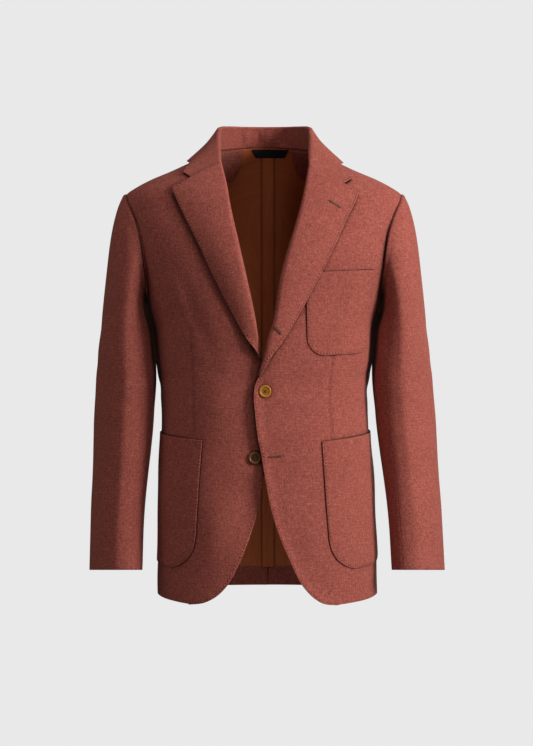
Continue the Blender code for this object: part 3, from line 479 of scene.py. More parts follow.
def noiseOf(tree, places, scale, detail=2.0, roughness=0.5, stretch=(1, 1, 1)):
    moved = addNode(tree, "Mapping", {"Scale": stretch, "Vector": places})
    return addNode(tree, "TexNoise", {"Scale": scale, "Detail": detail, "Roughness": roughness, "Vector": moved})


def summed(tree, start, parts):
    # start + the sum of weight (value - 0.5)
    for source, weight in parts:
        start = maths(tree, "MULTIPLY_ADD", maths(tree, "SUBTRACT", source, 0.5), weight, start)
    return start


def ranged(tree, value, low, high, toLow=0.0, toHigh=1.0):
    return addNode(tree, "MapRange", {"Value": value, "From Min": low, "From Max": high,
                                      "To Min": toLow, "To Max": toHigh})


def ramped(tree, tone, stops):
    # Colours at places of the tone, the first and the last one on the ramp's own two stops.
    ramp = addNode(tree, "ValToRGB", {"Fac": tone})
    elements = ramp.color_ramp.elements
    for number, (place, colour) in ((0, stops[0]), (1, stops[-1])):
        elements[number].position, elements[number].color = place, linear(colour)
    for place, colour in stops[1:-1]:
        elements.new(place).color = linear(colour)
    return ramp


def bumped(tree, height, strength, distance, under=None):
    settings = {"Height": height, "Strength": strength, "Distance": distance}
    return addNode(tree, "Bump", {**settings, "Normal": under} if under else settings)


def scaled(tree, vector, share):
    return addNode(tree, "VectorMath", {"operation": "SCALE", 0: vector, "Scale": share})


def uvOf(tree, name):
    return addNode(tree, "UVMap", {"uv_map": name})


def placeOf(tree):
    return addNode(tree, "TexCoord", {}).outputs["Object"]


# Painted contact shade: how far the occlusion looks, and how much it darkens the base colour.
paintedContactShade = {"reach": 0.016, "samples": 8, "from": 0.50, "to": 0.93, "least": 0.04}


def dyedWithPaintedShade(tree, colour, shade):
    # Dye times shade, times an occlusion term: where cloth lies near other cloth the base colour is darkened,
    # painted contact shade in creases, under edges and between parts.
    contactOcclusion = addNode(tree, "AmbientOcclusion", {"Distance": paintedContactShade["reach"], "samples": paintedContactShade["samples"]})
    paintedShadeFactor = ranged(tree, contactOcclusion.outputs["AO"], paintedContactShade["from"], paintedContactShade["to"], paintedContactShade["least"])
    return scaled(tree, colour, maths(tree, "MULTIPLY", shade, paintedShadeFactor))


flannelLook = {
    "dark": "#7C3D34", "mid": "#9A5045", "light": "#B6685B", "sheen": "#D9A08F",
    "threadPitch": 0.0030,     # real threads lie 0.6 mm apart, drawn at 3 mm so that the weave shows
    "slubLength": 0.011, "slubWidth": 0.0026, "fibreScale": 430, "blotchScale": 26,
    "stitchPitch": 0.0054, "stitchWidth": 0.0014, "stitchShadeAndLight": 0.28, "stitchGrooveShade": 0.10,
}


def flannelMaterial(name, look, paintedLightness=0.0):
    # Carded wool flannel: a matt, faintly hairy face with fibres of several rusts, slubs in the weft and a
    # milled grid of threads, which gives a soft sheen where it turns away.
    made, tree, shader = principled(name, {
        "Roughness": 0.95, "Specular IOR Level": 0.15, "Sheen Weight": 0.22, "Sheen Roughness": 0.45,
        "Sheen Tint": linear(look["sheen"]),
    })
    grain, where = uvOf(tree, "grain"), placeOf(tree)
    slubs = (1 / look["slubLength"], 1 / look["slubWidth"], 1)
    slub = noiseOf(tree, grain, 1.0, 2.0, 0.6, slubs)
    warp = noiseOf(tree, grain, 1.0, 1.0, 0.5, (slubs[1], slubs[0], 1))
    fibre = noiseOf(tree, where, look["fibreScale"], 2.0, 0.75)
    blotch = noiseOf(tree, where, look["blotchScale"], 3.0, 0.6)
    # The lightness offset shifts the whole tone; below zero it gives a darker copy of the cloth, painted shade.
    tone = summed(tree, 0.5 + paintedLightness, [(slub, 0.60), (warp, 0.40), (fibre, 1.1), (blotch, 0.14)])
    colour = ramped(tree, tone, [(0.18, look["dark"]), (0.5, look["mid"]), (0.82, look["light"])])

    # Pick stitches: a cosine along the line, within a band beside the edge; sunk as a bump, and painted into the
    # colour as well: painted shade on the dimples, painted light on the cloth between, and painted shade along the
    # band.
    edge = addNode(tree, "SeparateXYZ", {0: uvOf(tree, "stitch")})
    wave = maths(tree, "COSINE", maths(tree, "MULTIPLY", edge, 2 * math.pi / look["stitchPitch"]))
    off = maths(tree, "ABSOLUTE", edge.outputs[1])
    band = ranged(tree, off, look["stitchWidth"] * 0.3, look["stitchWidth"], 1.0, 0.0)
    dot = maths(tree, "MULTIPLY", wave, band)
    groove = maths(tree, "MULTIPLY_ADD", band, -look["stitchGrooveShade"], 1.0)
    shade = maths(tree, "MULTIPLY_ADD", dot, look["stitchShadeAndLight"], groove)

    # Threads: the product of a sine across and a sine up, under the nap's fibres.
    threads = scaled(tree, grain, 2 * math.pi / look["threadPitch"])
    sines = addNode(tree, "SeparateXYZ", {0: addNode(tree, "VectorMath", {"operation": "SINE", 0: threads})})
    checks = maths(tree, "MULTIPLY", sines, sines.outputs[1])
    nap = bumped(tree, summed(tree, 0.5, [(fibre, 1.1), (slub, 0.8), (checks, 0.25)]), 0.45, 0.0005)
    wire(tree, shader, {"Base Color": dyedWithPaintedShade(tree, colour, shade), "Normal": bumped(tree, dot, 0.8, 0.0007, nap)})
    return made, "wool_flannel"


liningLook = {
    "dark": "#A3522C", "light": "#CF7446", "sheen": "#B9733C",
    "groove": 0.80, "grooveIn": (0.0030, 0.0004),     # shade of the seam's groove, and where it starts and ends
}


def liningMaterial(name, look, seamMiddle=0.0, seamHalf=9.0):
    # Viscose twill: a smooth face in an even dye, with long fine ribs; beside a pressed seam the colour is
    # darkened on each side of its middle, painted shade of the seam's groove.
    made, tree, shader = principled(name, {
        "Roughness": 0.6, "Specular IOR Level": 0.12, "Sheen Weight": 0.04, "Sheen Tint": linear(look["sheen"]),
    })
    grain = uvOf(tree, "grain")
    rib = noiseOf(tree, grain, 1.0, 1.0, 0.5, (420, 30, 1))
    soft = noiseOf(tree, grain, 1.0, 2.0, 0.5, (60, 9, 1))
    tone = summed(tree, 0.5, [(rib, 0.6), (soft, 0.4)])
    colour = ramped(tree, tone, [(0.0, look["dark"]), (1.0, look["light"])])
    across = addNode(tree, "SeparateXYZ", {0: grain})
    away = maths(tree, "ABSOLUTE", maths(tree, "SUBTRACT", across, seamMiddle))
    start, end = (seamHalf - distance for distance in look["grooveIn"])
    groove = ranged(tree, away, start, end, 1.0, look["groove"])
    wire(tree, shader, {"Base Color": dyedWithPaintedShade(tree, colour, groove), "Normal": bumped(tree, soft, 0.12, 0.001)})
    return made, "lining"


tapeLook = {"dark": "#0B0D12", "light": "#1B2029"}


def tapeMaterial(name, look):
    # Woven damask tape: dense dark threads in fine cross ribs.
    made, tree, shader = principled(name, {"Roughness": 0.7, "Specular IOR Level": 0.2, "Sheen Weight": 0.03})
    rib = noiseOf(tree, uvOf(tree, "grain"), 1.0, 2.0, 0.5, (1500, 250, 1))
    colour = ramped(tree, rib, [(0.0, look["dark"]), (1.0, look["light"])])
    wire(tree, shader, {"Base Color": colour, "Normal": bumped(tree, rib, 0.4, 0.0003)})
    return made, "label_tape"


rustFlannel = flannelMaterial("rust_wool_flannel", flannelLook)
# The collar's stand gets a darker copy of the flannel: painted shade, for the shade that the collar casts into the
# stand.
paintedShadeStandFlannel = flannelMaterial("rust_wool_flannel_stand_painted_shade", flannelLook, -0.22)
brownLining = liningMaterial("brown_viscose_lining", liningLook)
navyTape = tapeMaterial("navy_woven_tape", tapeLook)
print("materials ready")

unstitched = (0.0, 9.0)     # place along a stitched line and distance from it, far off


def borderLoop(grid):
    return np.concatenate([grid[0, :-1], grid[:-1, -1], grid[-1, :0:-1], grid[:0:-1, 0]])


def sew(node, face, reverse, finish, grain, stitch=unstitched):
    # Closed cloth in the place of its solid: with F and R the borders of face and reverse, M their middle, H half
    # of F - R and O the way out of the cloth, the rim is M + H cos(pi t) + |H| O sin(pi t).
    rows, columns = face.shape[:2]
    count = rows * columns
    index, cells = gridCells(rows, columns)
    border = borderLoop(index)
    row, column = np.divmod(border, columns)
    inRow, inColumn = np.clip(row, 1, rows - 2), np.clip(column, 1, columns - 2)
    half = np.linalg.norm(face[row, column] - reverse[row, column], axis=-1, keepdims=True) / 2
    grids = []
    for grid in (face, reverse):
        inward = grid[inRow, inColumn] - grid[row, column]
        room = np.linalg.norm(inward, axis=-1, keepdims=True)
        moved = grid.copy()
        moved[row, column] += unit(inward) * np.minimum(half + cloth["butt"], 0.6 * room)
        grids.append(moved)
    face, reverse = grids
    middle = (face[row, column] + reverse[row, column]) / 2
    reach = (face[row, column] - reverse[row, column]) / 2
    out = unit(middle - (face[inRow, inColumn] + reverse[inRow, inColumn]) / 2)
    turns = np.linspace(0, math.pi, cloth["rimSteps"] + 2)[1:-1]
    rims = [middle + reach * math.cos(turn) + out * half * math.sin(turn) for turn in turns]
    points = np.concatenate([face.reshape(-1, 3), reverse.reshape(-1, 3)] + rims)
    steps = [2 * count + step * len(row) + np.arange(len(row)) for step in range(len(rims))]
    loops = [border] + steps + [border + count]
    strips = [np.stack([np.roll(a, -1), a, b, np.roll(b, -1)], axis=-1) for a, b in zip(loops[:-1], loops[1:])]
    maps = {}
    for mapName, places in (("grain", grain), ("stitch", stitch)):
        flat = stacked(*places, index)[..., :2].reshape(-1, 2)     # the index spreads single values over the grid
        maps[mapName] = np.concatenate([flat, flat] + [flat[border]] * len(rims))
    allCells = np.concatenate([cells, cells[:, ::-1] + count] + strips)
    material, slot = finish
    piece = meshObject(node + "_cloth", points, allCells, material, maps)
    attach(piece, "root")
    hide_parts(node)


def reverseOf(face, startSteps=None):
    # The other side of the cloth, one wall along the grid's own normals.
    rowStep = np.gradient(face, axis=0)
    columnStep = np.gradient(face, axis=1, edge_order=2)
    if startSteps is not None:
        columnStep[:, 0] = startSteps
    return face - unit(np.cross(columnStep, rowStep)) * cloth["wall"]


def stitchMap(face, lines):
    # For each point of the cloth: place along the nearest stitched line, and distance from it less its inset;
    # a line without inset has a sign for each of its sides.
    best = np.full(face.shape[:2], 9.0)
    made = [0 * best, best]
    flatFace = face.reshape(-1, 3)
    for line, inset in lines:
        gone = lengths(line)
        fine = np.linspace(0, gone[-1], max(int(gone[-1] / accuracy["stitchStep"]), 8))
        dense = stacked(*(np.interp(fine, gone, column) for column in line.T))
        way = unit(np.gradient(dense, axis=0))
        square = np.sum(flatFace ** 2, axis=1)[:, None] + np.sum(dense ** 2, axis=1)[None] - 2 * flatFace @ dense.T
        spot = np.argmin(square, axis=1)
        off = flatFace - dense[spot]
        go = np.sum(off * way[spot], axis=1)
        atEnd = (spot == 0) | (spot == len(fine) - 1)
        away = np.where(atEnd, np.linalg.norm(off, axis=1), np.linalg.norm(off - way[spot] * go[:, None], axis=1))
        out = unit(flatFace * np.array([1.0, 1.0, 0.0]))
        flank = np.sign(np.sum(np.cross(way[spot], out) * off, axis=1)) if inset == 0 else 1
        away, flanked, place = (part.reshape(best.shape) for part in (away, flank * away - inset, fine[spot] + go))
        closer = away < best
        best = np.where(closer, away, best)
        made = [np.where(closer, place, made[0]), np.where(closer, flanked, made[1])]
    return made


def fromLine(face, line):
    return np.abs(stitchMap(face, [(line, 0.0)])[1])


def lay(node, cells, lift, wall, finish, grain=None, inset=None):
    # Cloth on the body: the face at lift + drape, the reverse a wall inside it. With an inset it is stitched down
    # its first side, along the bottom and up its last side.
    angle, z = cells[..., 0], cells[..., 1]
    arc = arcAround(angle, z)
    lift = lift + drape(arc, z)
    face, stitch = onBody(angle, z, lift), unstitched
    if inset:
        line = np.concatenate([face[:, 0], face[-1, 1:], face[::-1, -1][1:]])
        stitch = stitchMap(face, [(line, inset)])
    sew(node, face, onBody(angle, z, lift - wall), finish, grain or (arc, z), stitch)


def mirrored(side, cells):
    return cells * np.array([signs[side], 1])


def hemZ(angle):
    return along(hemLine, "z", np.degrees(np.abs(angle)))


seams = {
    "frontTurn": math.radians(149.5), "backTurn": math.radians(227.0), "frontHem": math.radians(77.5),
    "backHem": math.radians(112.0), "shoulderTip": -0.0873, "sideNeck": -0.012, "turnUpTop": -0.7253,
    "backSplit": -0.170,
}
# Cells along each seam and edge.
density = {
    "edge": 110, "roll": 110, "gorge": 11, "sideSeam": 143, "armhole": 88, "shoulder": 84, "sideHem": 36,
    "backNeck": 36, "backShoulder": 42, "lining": 60, "facing": 33, "dart": 79,
    "underSleeve": 36, "topSleeve": 84, "sleeveCap": 78, "sleeveTube": 130,
}


def sideSeam(part):
    # Straight in (angle, z) from the hem to the armhole.
    top = armholePoint(np.array(seams[part + "Turn"]))
    bottom = np.array([seams[part + "Hem"], hemZ(seams[part + "Hem"])])
    return bottom + (top - bottom) * even(density["sideSeam"])[:, None]


def outerBorder(part, lastTurn):
    # Up the side seam and on along the armhole to the shoulder.
    arm = armholePoint(even(density["armhole"], seams[part + "Turn"], lastTurn))
    return np.concatenate([sideSeam(part), arm[1:]])


def shoulderSeam(count):
    return stacked(math.pi / 2, even(count, seams["sideNeck"], seams["shoulderTip"]))


def hemRow(inner, outer, count):
    angles = even(count, inner[0, 0], outer[0, 0])
    return stacked(angles, hemZ(angles))


buttons = {
    "button_upper": {"spot": (-0.0023, -0.4176), "lift": 0.0, "rim": "#C07F2E", "dish": "#A0641F"},
    # The lower button's rim and dish are much darker than the upper's: painted shade, where the wearer's left
    # front shades it.
    "button_lower": {"spot": (-0.0192, -0.5248), "lift": -0.0031, "rim": "#7A4A1E", "dish": "#40230F"},
}
frontForm = {
    "facing": (42.0, 0.5), "neckBlend": 0.40, "stitchInset": 0.0032, "edgeCalm": 0.05,
    "dartDepth": 0.0018, "dartWidth": 0.0026, "pinch": 0.0012, "pinchReach": 0.0165,
    "sink": 0.0022, "sinkFrom": -0.090, "sinkOver": 0.066, "sinkBand": (-0.330, 0.030),
    "proud": 0.0026, "proudReach": 0.008, "proudBand": (-0.392, 0.03),
    "stand": 0.0052, "standReach": 0.034, "standBand": (-0.265, 0.100),
    "groove": 0.0042, "grooveReach": 0.008, "flip": 0.0050, "flipReach": 0.030, "flipBand": (-0.615, 0.060),
    "hollow": 0.0050, "hollowReach": 0.042, "hollowBand": (-0.540, 0.045), "hollowEnd": (-0.640, 0.060),
}
darts = {
    "left": [(0.1100, -0.3590), (0.1040, -0.3910), (0.1022, -0.4300), (0.1052, -0.4700), (0.1066, -0.4940)],
    "right": [(-0.1240, -0.3190), (-0.1213, -0.3910), (-0.1197, -0.4360), (-0.1197, -0.4880)],
}


def pinched(x, z):
    # Near 1 within a button's reach, where its thread draws the cloth in: exp(-(d/reach)^2) for each button.
    spots = [place["spot"] for place in buttons.values()]
    return sum(near(np.hypot(x - atX, z - atZ), frontForm["pinchReach"]) for atX, atZ in spots)


def stands(z):
    # The wearer's left front stands off the body at its edge and roll, fading out up the lapel.
    return frontForm["stand"] * below(z, frontForm["standBand"])


def standsOff(x, z, fromBorder):
    return stands(z) * np.exp(-fromBorder / frontForm["standReach"]) * (1 - pinched(x, z))


def sunk(x, z):
    # The wearer's right front lies lower where the left laps over it: sink S(x) R(z), S and R rising from 0 to 1.
    top, length = frontForm["sinkBand"]
    across = smooth((x - frontForm["sinkFrom"]) / frontForm["sinkOver"])
    return frontForm["sink"] * across * np.clip((top - z) / length, 0, 1)


def makeFront(side):
    form, gorge, rollEnd = frontForm, density["gorge"], density["edge"] + density["roll"]
    low = toAngles(rowsOf(edges[side], density["edge"]))
    high = toAngles(rowsOf(rolls[side], density["roll"]))
    neck = np.array([signs[side] * math.pi / 2, seams["sideNeck"]])
    rest = even(gorge)[1:, None]
    inner = np.concatenate([low, high[1:], high[-1] + (neck - high[-1]) * rest])
    innerPoints = bodyPoint(*inner.T)
    innerPoints[-gorge:] = innerPoints[-gorge - 1] + (innerPoints[-1] - innerPoints[-gorge - 1]) * rest
    outer = mirrored(side, outerBorder("front", 0))
    bottom = hemRow(inner, outer, density["shoulder"])
    bottom[0] = inner[0]
    facing = (signs[side] * form["facing"][0], form["facing"][1])
    top = mirrored(side, shoulderSeam(density["shoulder"]))
    straight, cells = patch(bottom, top, inner, outer, facing, innerPoints)
    angle, z = cells[..., 0], cells[..., 1]
    face, arc = bodyPoint(angle, z), arcAround(angle, z)
    x = face[..., 0]
    dart = onFront(spaced(darts[side], density["dart"]))
    fromEdge = fromLine(face, face[:density["edge"] + 1, 0])
    lift = drape(arc, z) * smooth(fromEdge / form["edgeCalm"])
    lift -= form["dartDepth"] * near(fromLine(face, dart), form["dartWidth"])
    if side == "left":
        lift += form["proud"] * near(fromEdge, form["proudReach"]) * below(z, form["proudBand"])
        lift += standsOff(x, z, fromLine(face, face[:rollEnd + 1, 0]))
    else:
        lower = sunk(x, z)
        lift = lift * (1 - lower / form["sink"]) - lower - form["pinch"] * pinched(x, z)
        lapelShade = onFront(rowsOf(lapelEdges[side], density["dart"]))
        lift -= form["groove"] * near(fromLine(face, lapelShade), form["grooveReach"])
        hollow = below(z, form["hollowBand"]) * (1 - below(z, form["hollowEnd"]))
        lift -= form["hollow"] * hollow * near(fromEdge, form["hollowReach"])
        lift += form["flip"] * below(z, form["flipBand"]) * near(fromEdge, form["flipReach"])
    # Past the roll's top the cloth runs straight to the neck, not round the body.
    across = even(len(bottom) - 1)[None]
    toChord = (smooth(1 - across / form["neckBlend"]) * (np.arange(len(inner)) > rollEnd)[:, None])[..., None]
    base = face * (1 - toChord) + straight * toChord
    normal = bodyNormal(angle, z)
    outside, inside = (base + normal * (lift - wall)[..., None] for wall in (0, cloth["wall"]))
    lines = [(outside[:density["edge"] + 1, 0], form["stitchInset"]), (dart, 0.0)]
    sew("front_" + side, outside, inside, rustFlannel, (arc, z), stitchMap(outside, lines))


for coatSide in signs:
    makeFront(coatSide)
print("fronts made")


def makeSide(side):
    inner, outer = sideSeam("front"), sideSeam("back")
    top = armholePoint(even(density["sideHem"], seams["frontTurn"], seams["backTurn"]))
    cells = patch(hemRow(inner, outer, density["sideHem"]), top, inner, outer, (94.0, 0.1))[1]
    lay("side_" + side, mirrored(side, cells), 0.0, cloth["wall"], rustFlannel)


def backNeckZ(angle):
    return seams["sideNeck"] * np.sin(angle) ** 2


def backCells():
    # Grid of the wearer's left back, from the centre seam out.
    outer = outerBorder("back", 2 * math.pi)
    seamZ = np.concatenate([even(density["sideSeam"], hemZ(math.pi), seams["backSplit"]),
                            even(density["armhole"], seams["backSplit"], 0)[1:]])
    inner = stacked(math.pi, seamZ)
    neck = even(density["backNeck"], math.pi, math.pi / 2)
    top = np.concatenate([stacked(neck, backNeckZ(neck)), shoulderSeam(density["backShoulder"])[1:]])
    return patch(hemRow(inner, outer, len(top) - 1), top, inner, outer, (142.0, 0.7))[1]


fineBack = backCells()
turnUp = int(np.argmin(np.abs(fineBack[:, 0, 1] - seams["turnUpTop"])))


def makeBack(side):
    cells = mirrored(side, fineBack)
    lay("back_" + side, cells, 0.0, cloth["wall"], rustFlannel)
    lay("lining_" + side, cells[turnUp:, :density["lining"] + 1], liningLift, cloth["liningWall"], brownLining)
    lay("hem_facing_" + side, cells[:turnUp + 1], liningLift, cloth["liningWall"], rustFlannel)


for coatSide in signs:
    makeSide(coatSide)
    makeBack(coatSide)
print("sides and backs made")

lapelForm = {
    "rows": 150, "foldCells": 10, "leafCells": 30, "radius": 0.0042, "rise": 0.0048, "belly": 0.0020,
    "bellyReach": 0.06, "stitchInset": 0.0032, "stitchFrom": 6,
}
# How far each lapel's edge stands off the chest, from the break up.
lapelLift = {
    "left": table("share rise", [(0.0, 0.0026), (0.10, 0.0040), (0.3, 0.0044), (1.0, 0.0048)]),
    "right": table("share rise", [
        (0.0, 0.005), (0.05, 0.0074), (0.15, 0.0062), (0.31, 0.0052), (0.7, 0.0054), (1.0, 0.0058),
    ]),
}
rollRadius = table("share radius", [(0.0, 0.0022), (0.08, 0.0040), (0.25, 0.0066), (0.75, 0.0066), (1.0, 0.0042)])
lapelTurn = table("share degrees", [(0.00, 120), (0.04, 160), (0.10, 176), (0.20, 180)])
# The notch's corner and the tip of the collar's leaf, as (x, z).
notches = {
    "right": {"corner": np.array([-0.1173, -0.0740]), "tip": np.array([-0.1362, -0.0592])},
    "left": {"corner": np.array([0.1202, -0.0835]), "tip": np.array([0.1391, -0.0712])},
}


def foldedPath(turn, width, radius, foldCells, leafCells):
    # Beside the roll line: an arc of the given radius up to the turn, then straight on to the width.
    radius = np.broadcast_to(radius, width.shape)[:, None]
    arc = even(foldCells) * np.minimum(turn[:, None] * radius, 0.6 * width[:, None])
    bend = arc[:, -1:] / radius
    flat = even(leafCells)[1:] * (width[:, None] - arc[:, -1:])
    run = np.concatenate([-radius * np.sin(arc / radius), -radius * np.sin(bend) - flat * np.cos(bend)], axis=1)
    rise = np.concatenate([radius * (1 - np.cos(arc / radius)), radius * (1 - np.cos(bend)) + flat * np.sin(bend)],
                          axis=1)
    return run, rise, np.concatenate([np.zeros(arc.shape), flat / flat[:, -1:]], axis=1)


def flapRows(roll, edge, turn, drop, edgeRise=lapelForm["rise"], radius=lapelForm["radius"]):
    # Rows of a lapel: over the roll and out to the edge, laid on the chest with a slight belly.
    edgeRise, radius = (np.broadcast_to(size, turn.shape)[:, None] for size in (edgeRise, radius))
    reach = np.linalg.norm(edge - roll, axis=1)[:, None]
    direction, foldShare = (edge - roll) / reach, (turn / math.pi)[:, None]
    width = (reach + math.pi * radius * foldShare)[:, 0]
    run, rise, flat = foldedPath(turn, width, radius[:, 0], lapelForm["foldCells"], lapelForm["leafCells"])
    settled = (edgeRise - (2 * radius - cloth["wall"])) * flat ** 1.5
    belly = lapelForm["belly"] * np.sin(math.pi * flat) * np.minimum(1.0, reach / lapelForm["bellyReach"])
    lift = rise - cloth["wall"] + (settled + belly) * foldShare ** 4 + drop[:, None]
    return onFront(roll[:, None] + direction[:, None] * run[..., None], lift)


lapelFaces = {}


def makeLapel(side):
    roll, edge = (rowsOf(lines[side], lapelForm["rows"]) for lines in (rolls, lapelEdges))
    shares = even(lapelForm["rows"])
    turns = np.radians(np.interp(shares, lapelTurn["share"], lapelTurn["degrees"]))
    drop = stands(roll[:, 1]) if side == "left" else -sunk(*roll.T)
    rise, radius = along(lapelLift[side], "rise", shares), along(rollRadius, "radius", shares)
    face = lapelFaces[side] = flapRows(roll, edge, turns, drop, rise, radius)
    corner = int(np.argmin(np.linalg.norm(face[-1][:, [0, 2]] - notches[side]["corner"], axis=-1)))
    line = np.concatenate([face[lapelForm["stitchFrom"]:, -1], face[-1, corner:-1][::-1]])
    grain, stitch = (lengths(face, 1), lengths(face)), stitchMap(face, [(line, lapelForm["stitchInset"])])
    if side == "right":
        face, grain, stitch = face[::-1], [part[::-1] for part in grain], [part[::-1] for part in stitch]
    sew("lapel_" + side, face, reverseOf(face), rustFlannel, grain, stitch)


for coatSide in signs:
    makeLapel(coatSide)
print("lapels made")

collarSections = table("share foldX foldY foldZ edgeDegrees edgeZ edgeLift", [
    (0.0, 0.0, 0.0915, 0.0366, 180.0, -0.0125, 0.0062), (0.15, 0.0345, 0.082, 0.0358, 160.0, -0.014, 0.006),
    (0.3, 0.0595, 0.053, 0.033, 138.0, -0.018, 0.0056), (0.45, 0.073, 0.027, 0.0292, 116.0, -0.024, 0.0052),
    (0.6, 0.0762, 0.002, 0.0212, 97.0, -0.0315, 0.005), (0.7, 0.0758, -0.0185, 0.008, 97.0, -0.0315, 0.0048),
    (0.8, 0.0748, -0.037, -0.009, 97.0, -0.0315, 0.0048), (0.9, 0.0738, -0.0555, -0.03, 97.0, -0.0315, 0.0048),
])
collarForm = {
    "sideNeck": 0.6, "plainTo": 0.9, "centreX": -0.0030, "ridgeX": 0.1175, "ridgeShare": 0.35, "radius": 0.0045,
    "rows": 90, "endRows": 14, "foldCells": 10, "leafCells": 26, "standCells": 14, "stitchInset": 0.0032,
    "wave": 0.0006, "waveTurns": 47,
}
# Soft upright wrinkles inside the stand: x, depth, half width.
standDents = [(-0.0425, 0.0026, 0.0035), (-0.0330, -0.0022, 0.0045), (-0.0130, 0.0028, 0.0032),
              (0.002, -0.0016, 0.006), (0.03, 0.0018, 0.006)]


def pastSideNeck(shares):
    return np.maximum(0.0, (shares - collarForm["sideNeck"]) / (1 - collarForm["sideNeck"]))


def neckRim(side, shares):
    # Round the back neck up to the side neck, then straight down to the top of the roll.
    angle = math.pi - signs[side] * math.pi / 2 * np.minimum(shares / collarForm["sideNeck"], 1)
    point = bodyPoint(angle, backNeckZ(angle))
    low = onFront(rowsOf(rolls[side], 1)[-1])
    return point + (low - point) * pastSideNeck(shares)[:, None]


def collarRows(side, shares):
    # Foot of the stand, fold and lower edge of the leaf at shares of the half collar.
    sign, forward = signs[side], pastSideNeck(shares)
    half = {name: along(collarSections, name, shares) for name in collarSections}
    rim = neckRim(side, shares)
    inward = stacked(centreX(0) - rim[:, 0], -np.maximum(rim[:, 1], 0.0), 0.0)
    seam = rim + unit(inward) * (cloth["wall"] + cloth["seamGap"]) + np.array([0, 0, cloth["seamGap"]])
    fold = stacked(collarForm["centreX"] + sign * half["foldX"], half["foldY"], half["foldZ"])
    tipX, tipZ = notches[side]["tip"]
    start = sign * np.radians(half["edgeDegrees"])
    z = half["edgeZ"] + (tipZ - half["edgeZ"]) * forward
    sideX = cloth["leanTop"] + sign * collarForm["ridgeX"]
    frontAngle = angleAtX(sideX + (tipX - sideX) * forward, z)
    angle = start + (frontAngle - start) * smooth(forward / collarForm["ridgeShare"])
    return seam, fold, onBody(angle, z, half["edgeLift"])


def foldRows(seam, fold, edge):
    # Over the fold on an arc of its radius, then straight down to the edge.
    radius = collarForm["radius"]
    up, down = unit(fold - seam), unit(edge - fold)
    crown, outward = unit(up - down), unit(up + down)
    half = np.arccos(np.clip(np.sum(up * down, axis=-1), -1, 1))[:, None, None] / 2
    centre = (fold - crown * radius)[:, None]
    swing = even(collarForm["foldCells"], -1, 1)[None, :, None] * half
    arc = centre + radius * (crown[:, None] * np.cos(swing) + outward[:, None] * np.sin(swing))
    flat = even(collarForm["leafCells"])[None, 1:, None]
    return np.concatenate([arc, arc[:, -1:] + (edge[:, None] - arc[:, -1:]) * flat], axis=1)


def collarEnd(side):
    # Last row: over the roll, down the gorge seam to the notch, then up the leaf's front edge to its tip.
    roll, edge = (rowsOf(lines[side], 1)[-1:] for lines in (rolls, lapelEdges))
    corner, tip = notches[side]["corner"], notches[side]["tip"]
    lift = np.array([[0.0, 2 * cloth["seamGap"]]])
    turn, drop = np.array([math.pi]), np.zeros(1)
    row, gorge = (flapRows(roll + lift, end + lift, turn, drop)[0] for end in (edge, corner[None]))
    tipPoint = onFront(tip, lapelForm["rise"])
    stops = np.cumsum([0, np.linalg.norm(corner - roll[0]), np.linalg.norm(tip - corner)])
    wanted = even(collarForm["leafCells"]) * stops[-1]
    fold = lapelForm["foldCells"]
    line = stacked(*(np.interp(wanted, stops, ends) for ends in zip(gorge[fold], gorge[-1], tipPoint)))
    return np.concatenate([row[:fold], line]), int(round(stops[1] / stops[2] * collarForm["leafCells"]))


def halfCollar(side):
    # From the centre back to the end row, which the rows past the plain part blend into.
    plain = collarForm["plainTo"]
    shares = np.concatenate([even(collarForm["rows"], 0, plain), even(collarForm["endRows"], plain)[1:]])
    seam, fold, edge = collarRows(side, np.minimum(shares, plain))
    end, corner = collarEnd(side)
    blend = np.clip((shares - plain) / (1 - plain), 0, 1)[:, None, None]
    return foldRows(seam, fold, edge) * (1 - blend) + end * blend, seam, corner


def makeCollar():
    left, leftSeam, leftCorner = halfCollar("left")
    right, rightSeam, rightCorner = halfCollar("right")
    face = np.concatenate([left[::-1], right[1:]])
    foot = np.concatenate([leftSeam[::-1], rightSeam[1:]])
    ends, fold = collarForm["endRows"], collarForm["foldCells"]
    rises = face[:, 0] - foot
    rises[:ends] = rises[ends]
    rises[-ends:] = rises[-ends - 1]
    stitched = np.concatenate([face[0, fold + leftCorner:-1], face[:, -1], face[-1, fold + rightCorner:-1][::-1]])
    across, up = lengths(face, 1), lengths(face)
    wave = np.sin(up[:, -1:] * collarForm["waveTurns"] + 1.0) * even(face.shape[1] - 1) ** 2
    normal = unit(np.cross(np.gradient(face, axis=1), np.gradient(face, axis=0)))
    face = face + normal * collarForm["wave"] * wave[..., None]
    stitch = stitchMap(face, [(stitched, collarForm["stitchInset"])])
    sew("collar_leaf", face, reverseOf(face, rises), rustFlannel, (up, across), stitch)
    middle = slice(ends, len(face) - ends)
    foot, rises = foot[middle], rises[middle]
    top = foot + rises - unit(rises) * 2 * cloth["seamGap"]
    share = even(collarForm["standCells"])[None, :, None]
    stand = foot[:, None] * (1 - share) + top[:, None] * share
    dents = sum(depth * near(stand[..., 0] - x, width) for x, depth, width in standDents)
    stand[..., 1] += dents * np.sin(math.pi * share[..., 0])
    sew("collar_stand", stand, reverseOf(stand), paintedShadeStandFlannel, (lengths(stand), lengths(stand, 1)))


makeCollar()
print("collar made")

sleeveSections = table("z x y halfWidth halfDepth", [
    (-0.74, 0.253, -0.031, 0.0461, 0.049), (-0.7156, 0.2522, -0.028, 0.0461, 0.0495),
    (-0.61, 0.2476, -0.014, 0.0468, 0.056), (-0.515, 0.2405, -0.003, 0.0498, 0.063),
    (-0.4535, 0.2358, 0.0, 0.0516, 0.066), (-0.4, 0.2328, 0.0, 0.0513, 0.069),
    (-0.36, 0.2322, -0.001, 0.0481, 0.0715), (-0.32, 0.2318, -0.002, 0.0438, 0.0735),
])
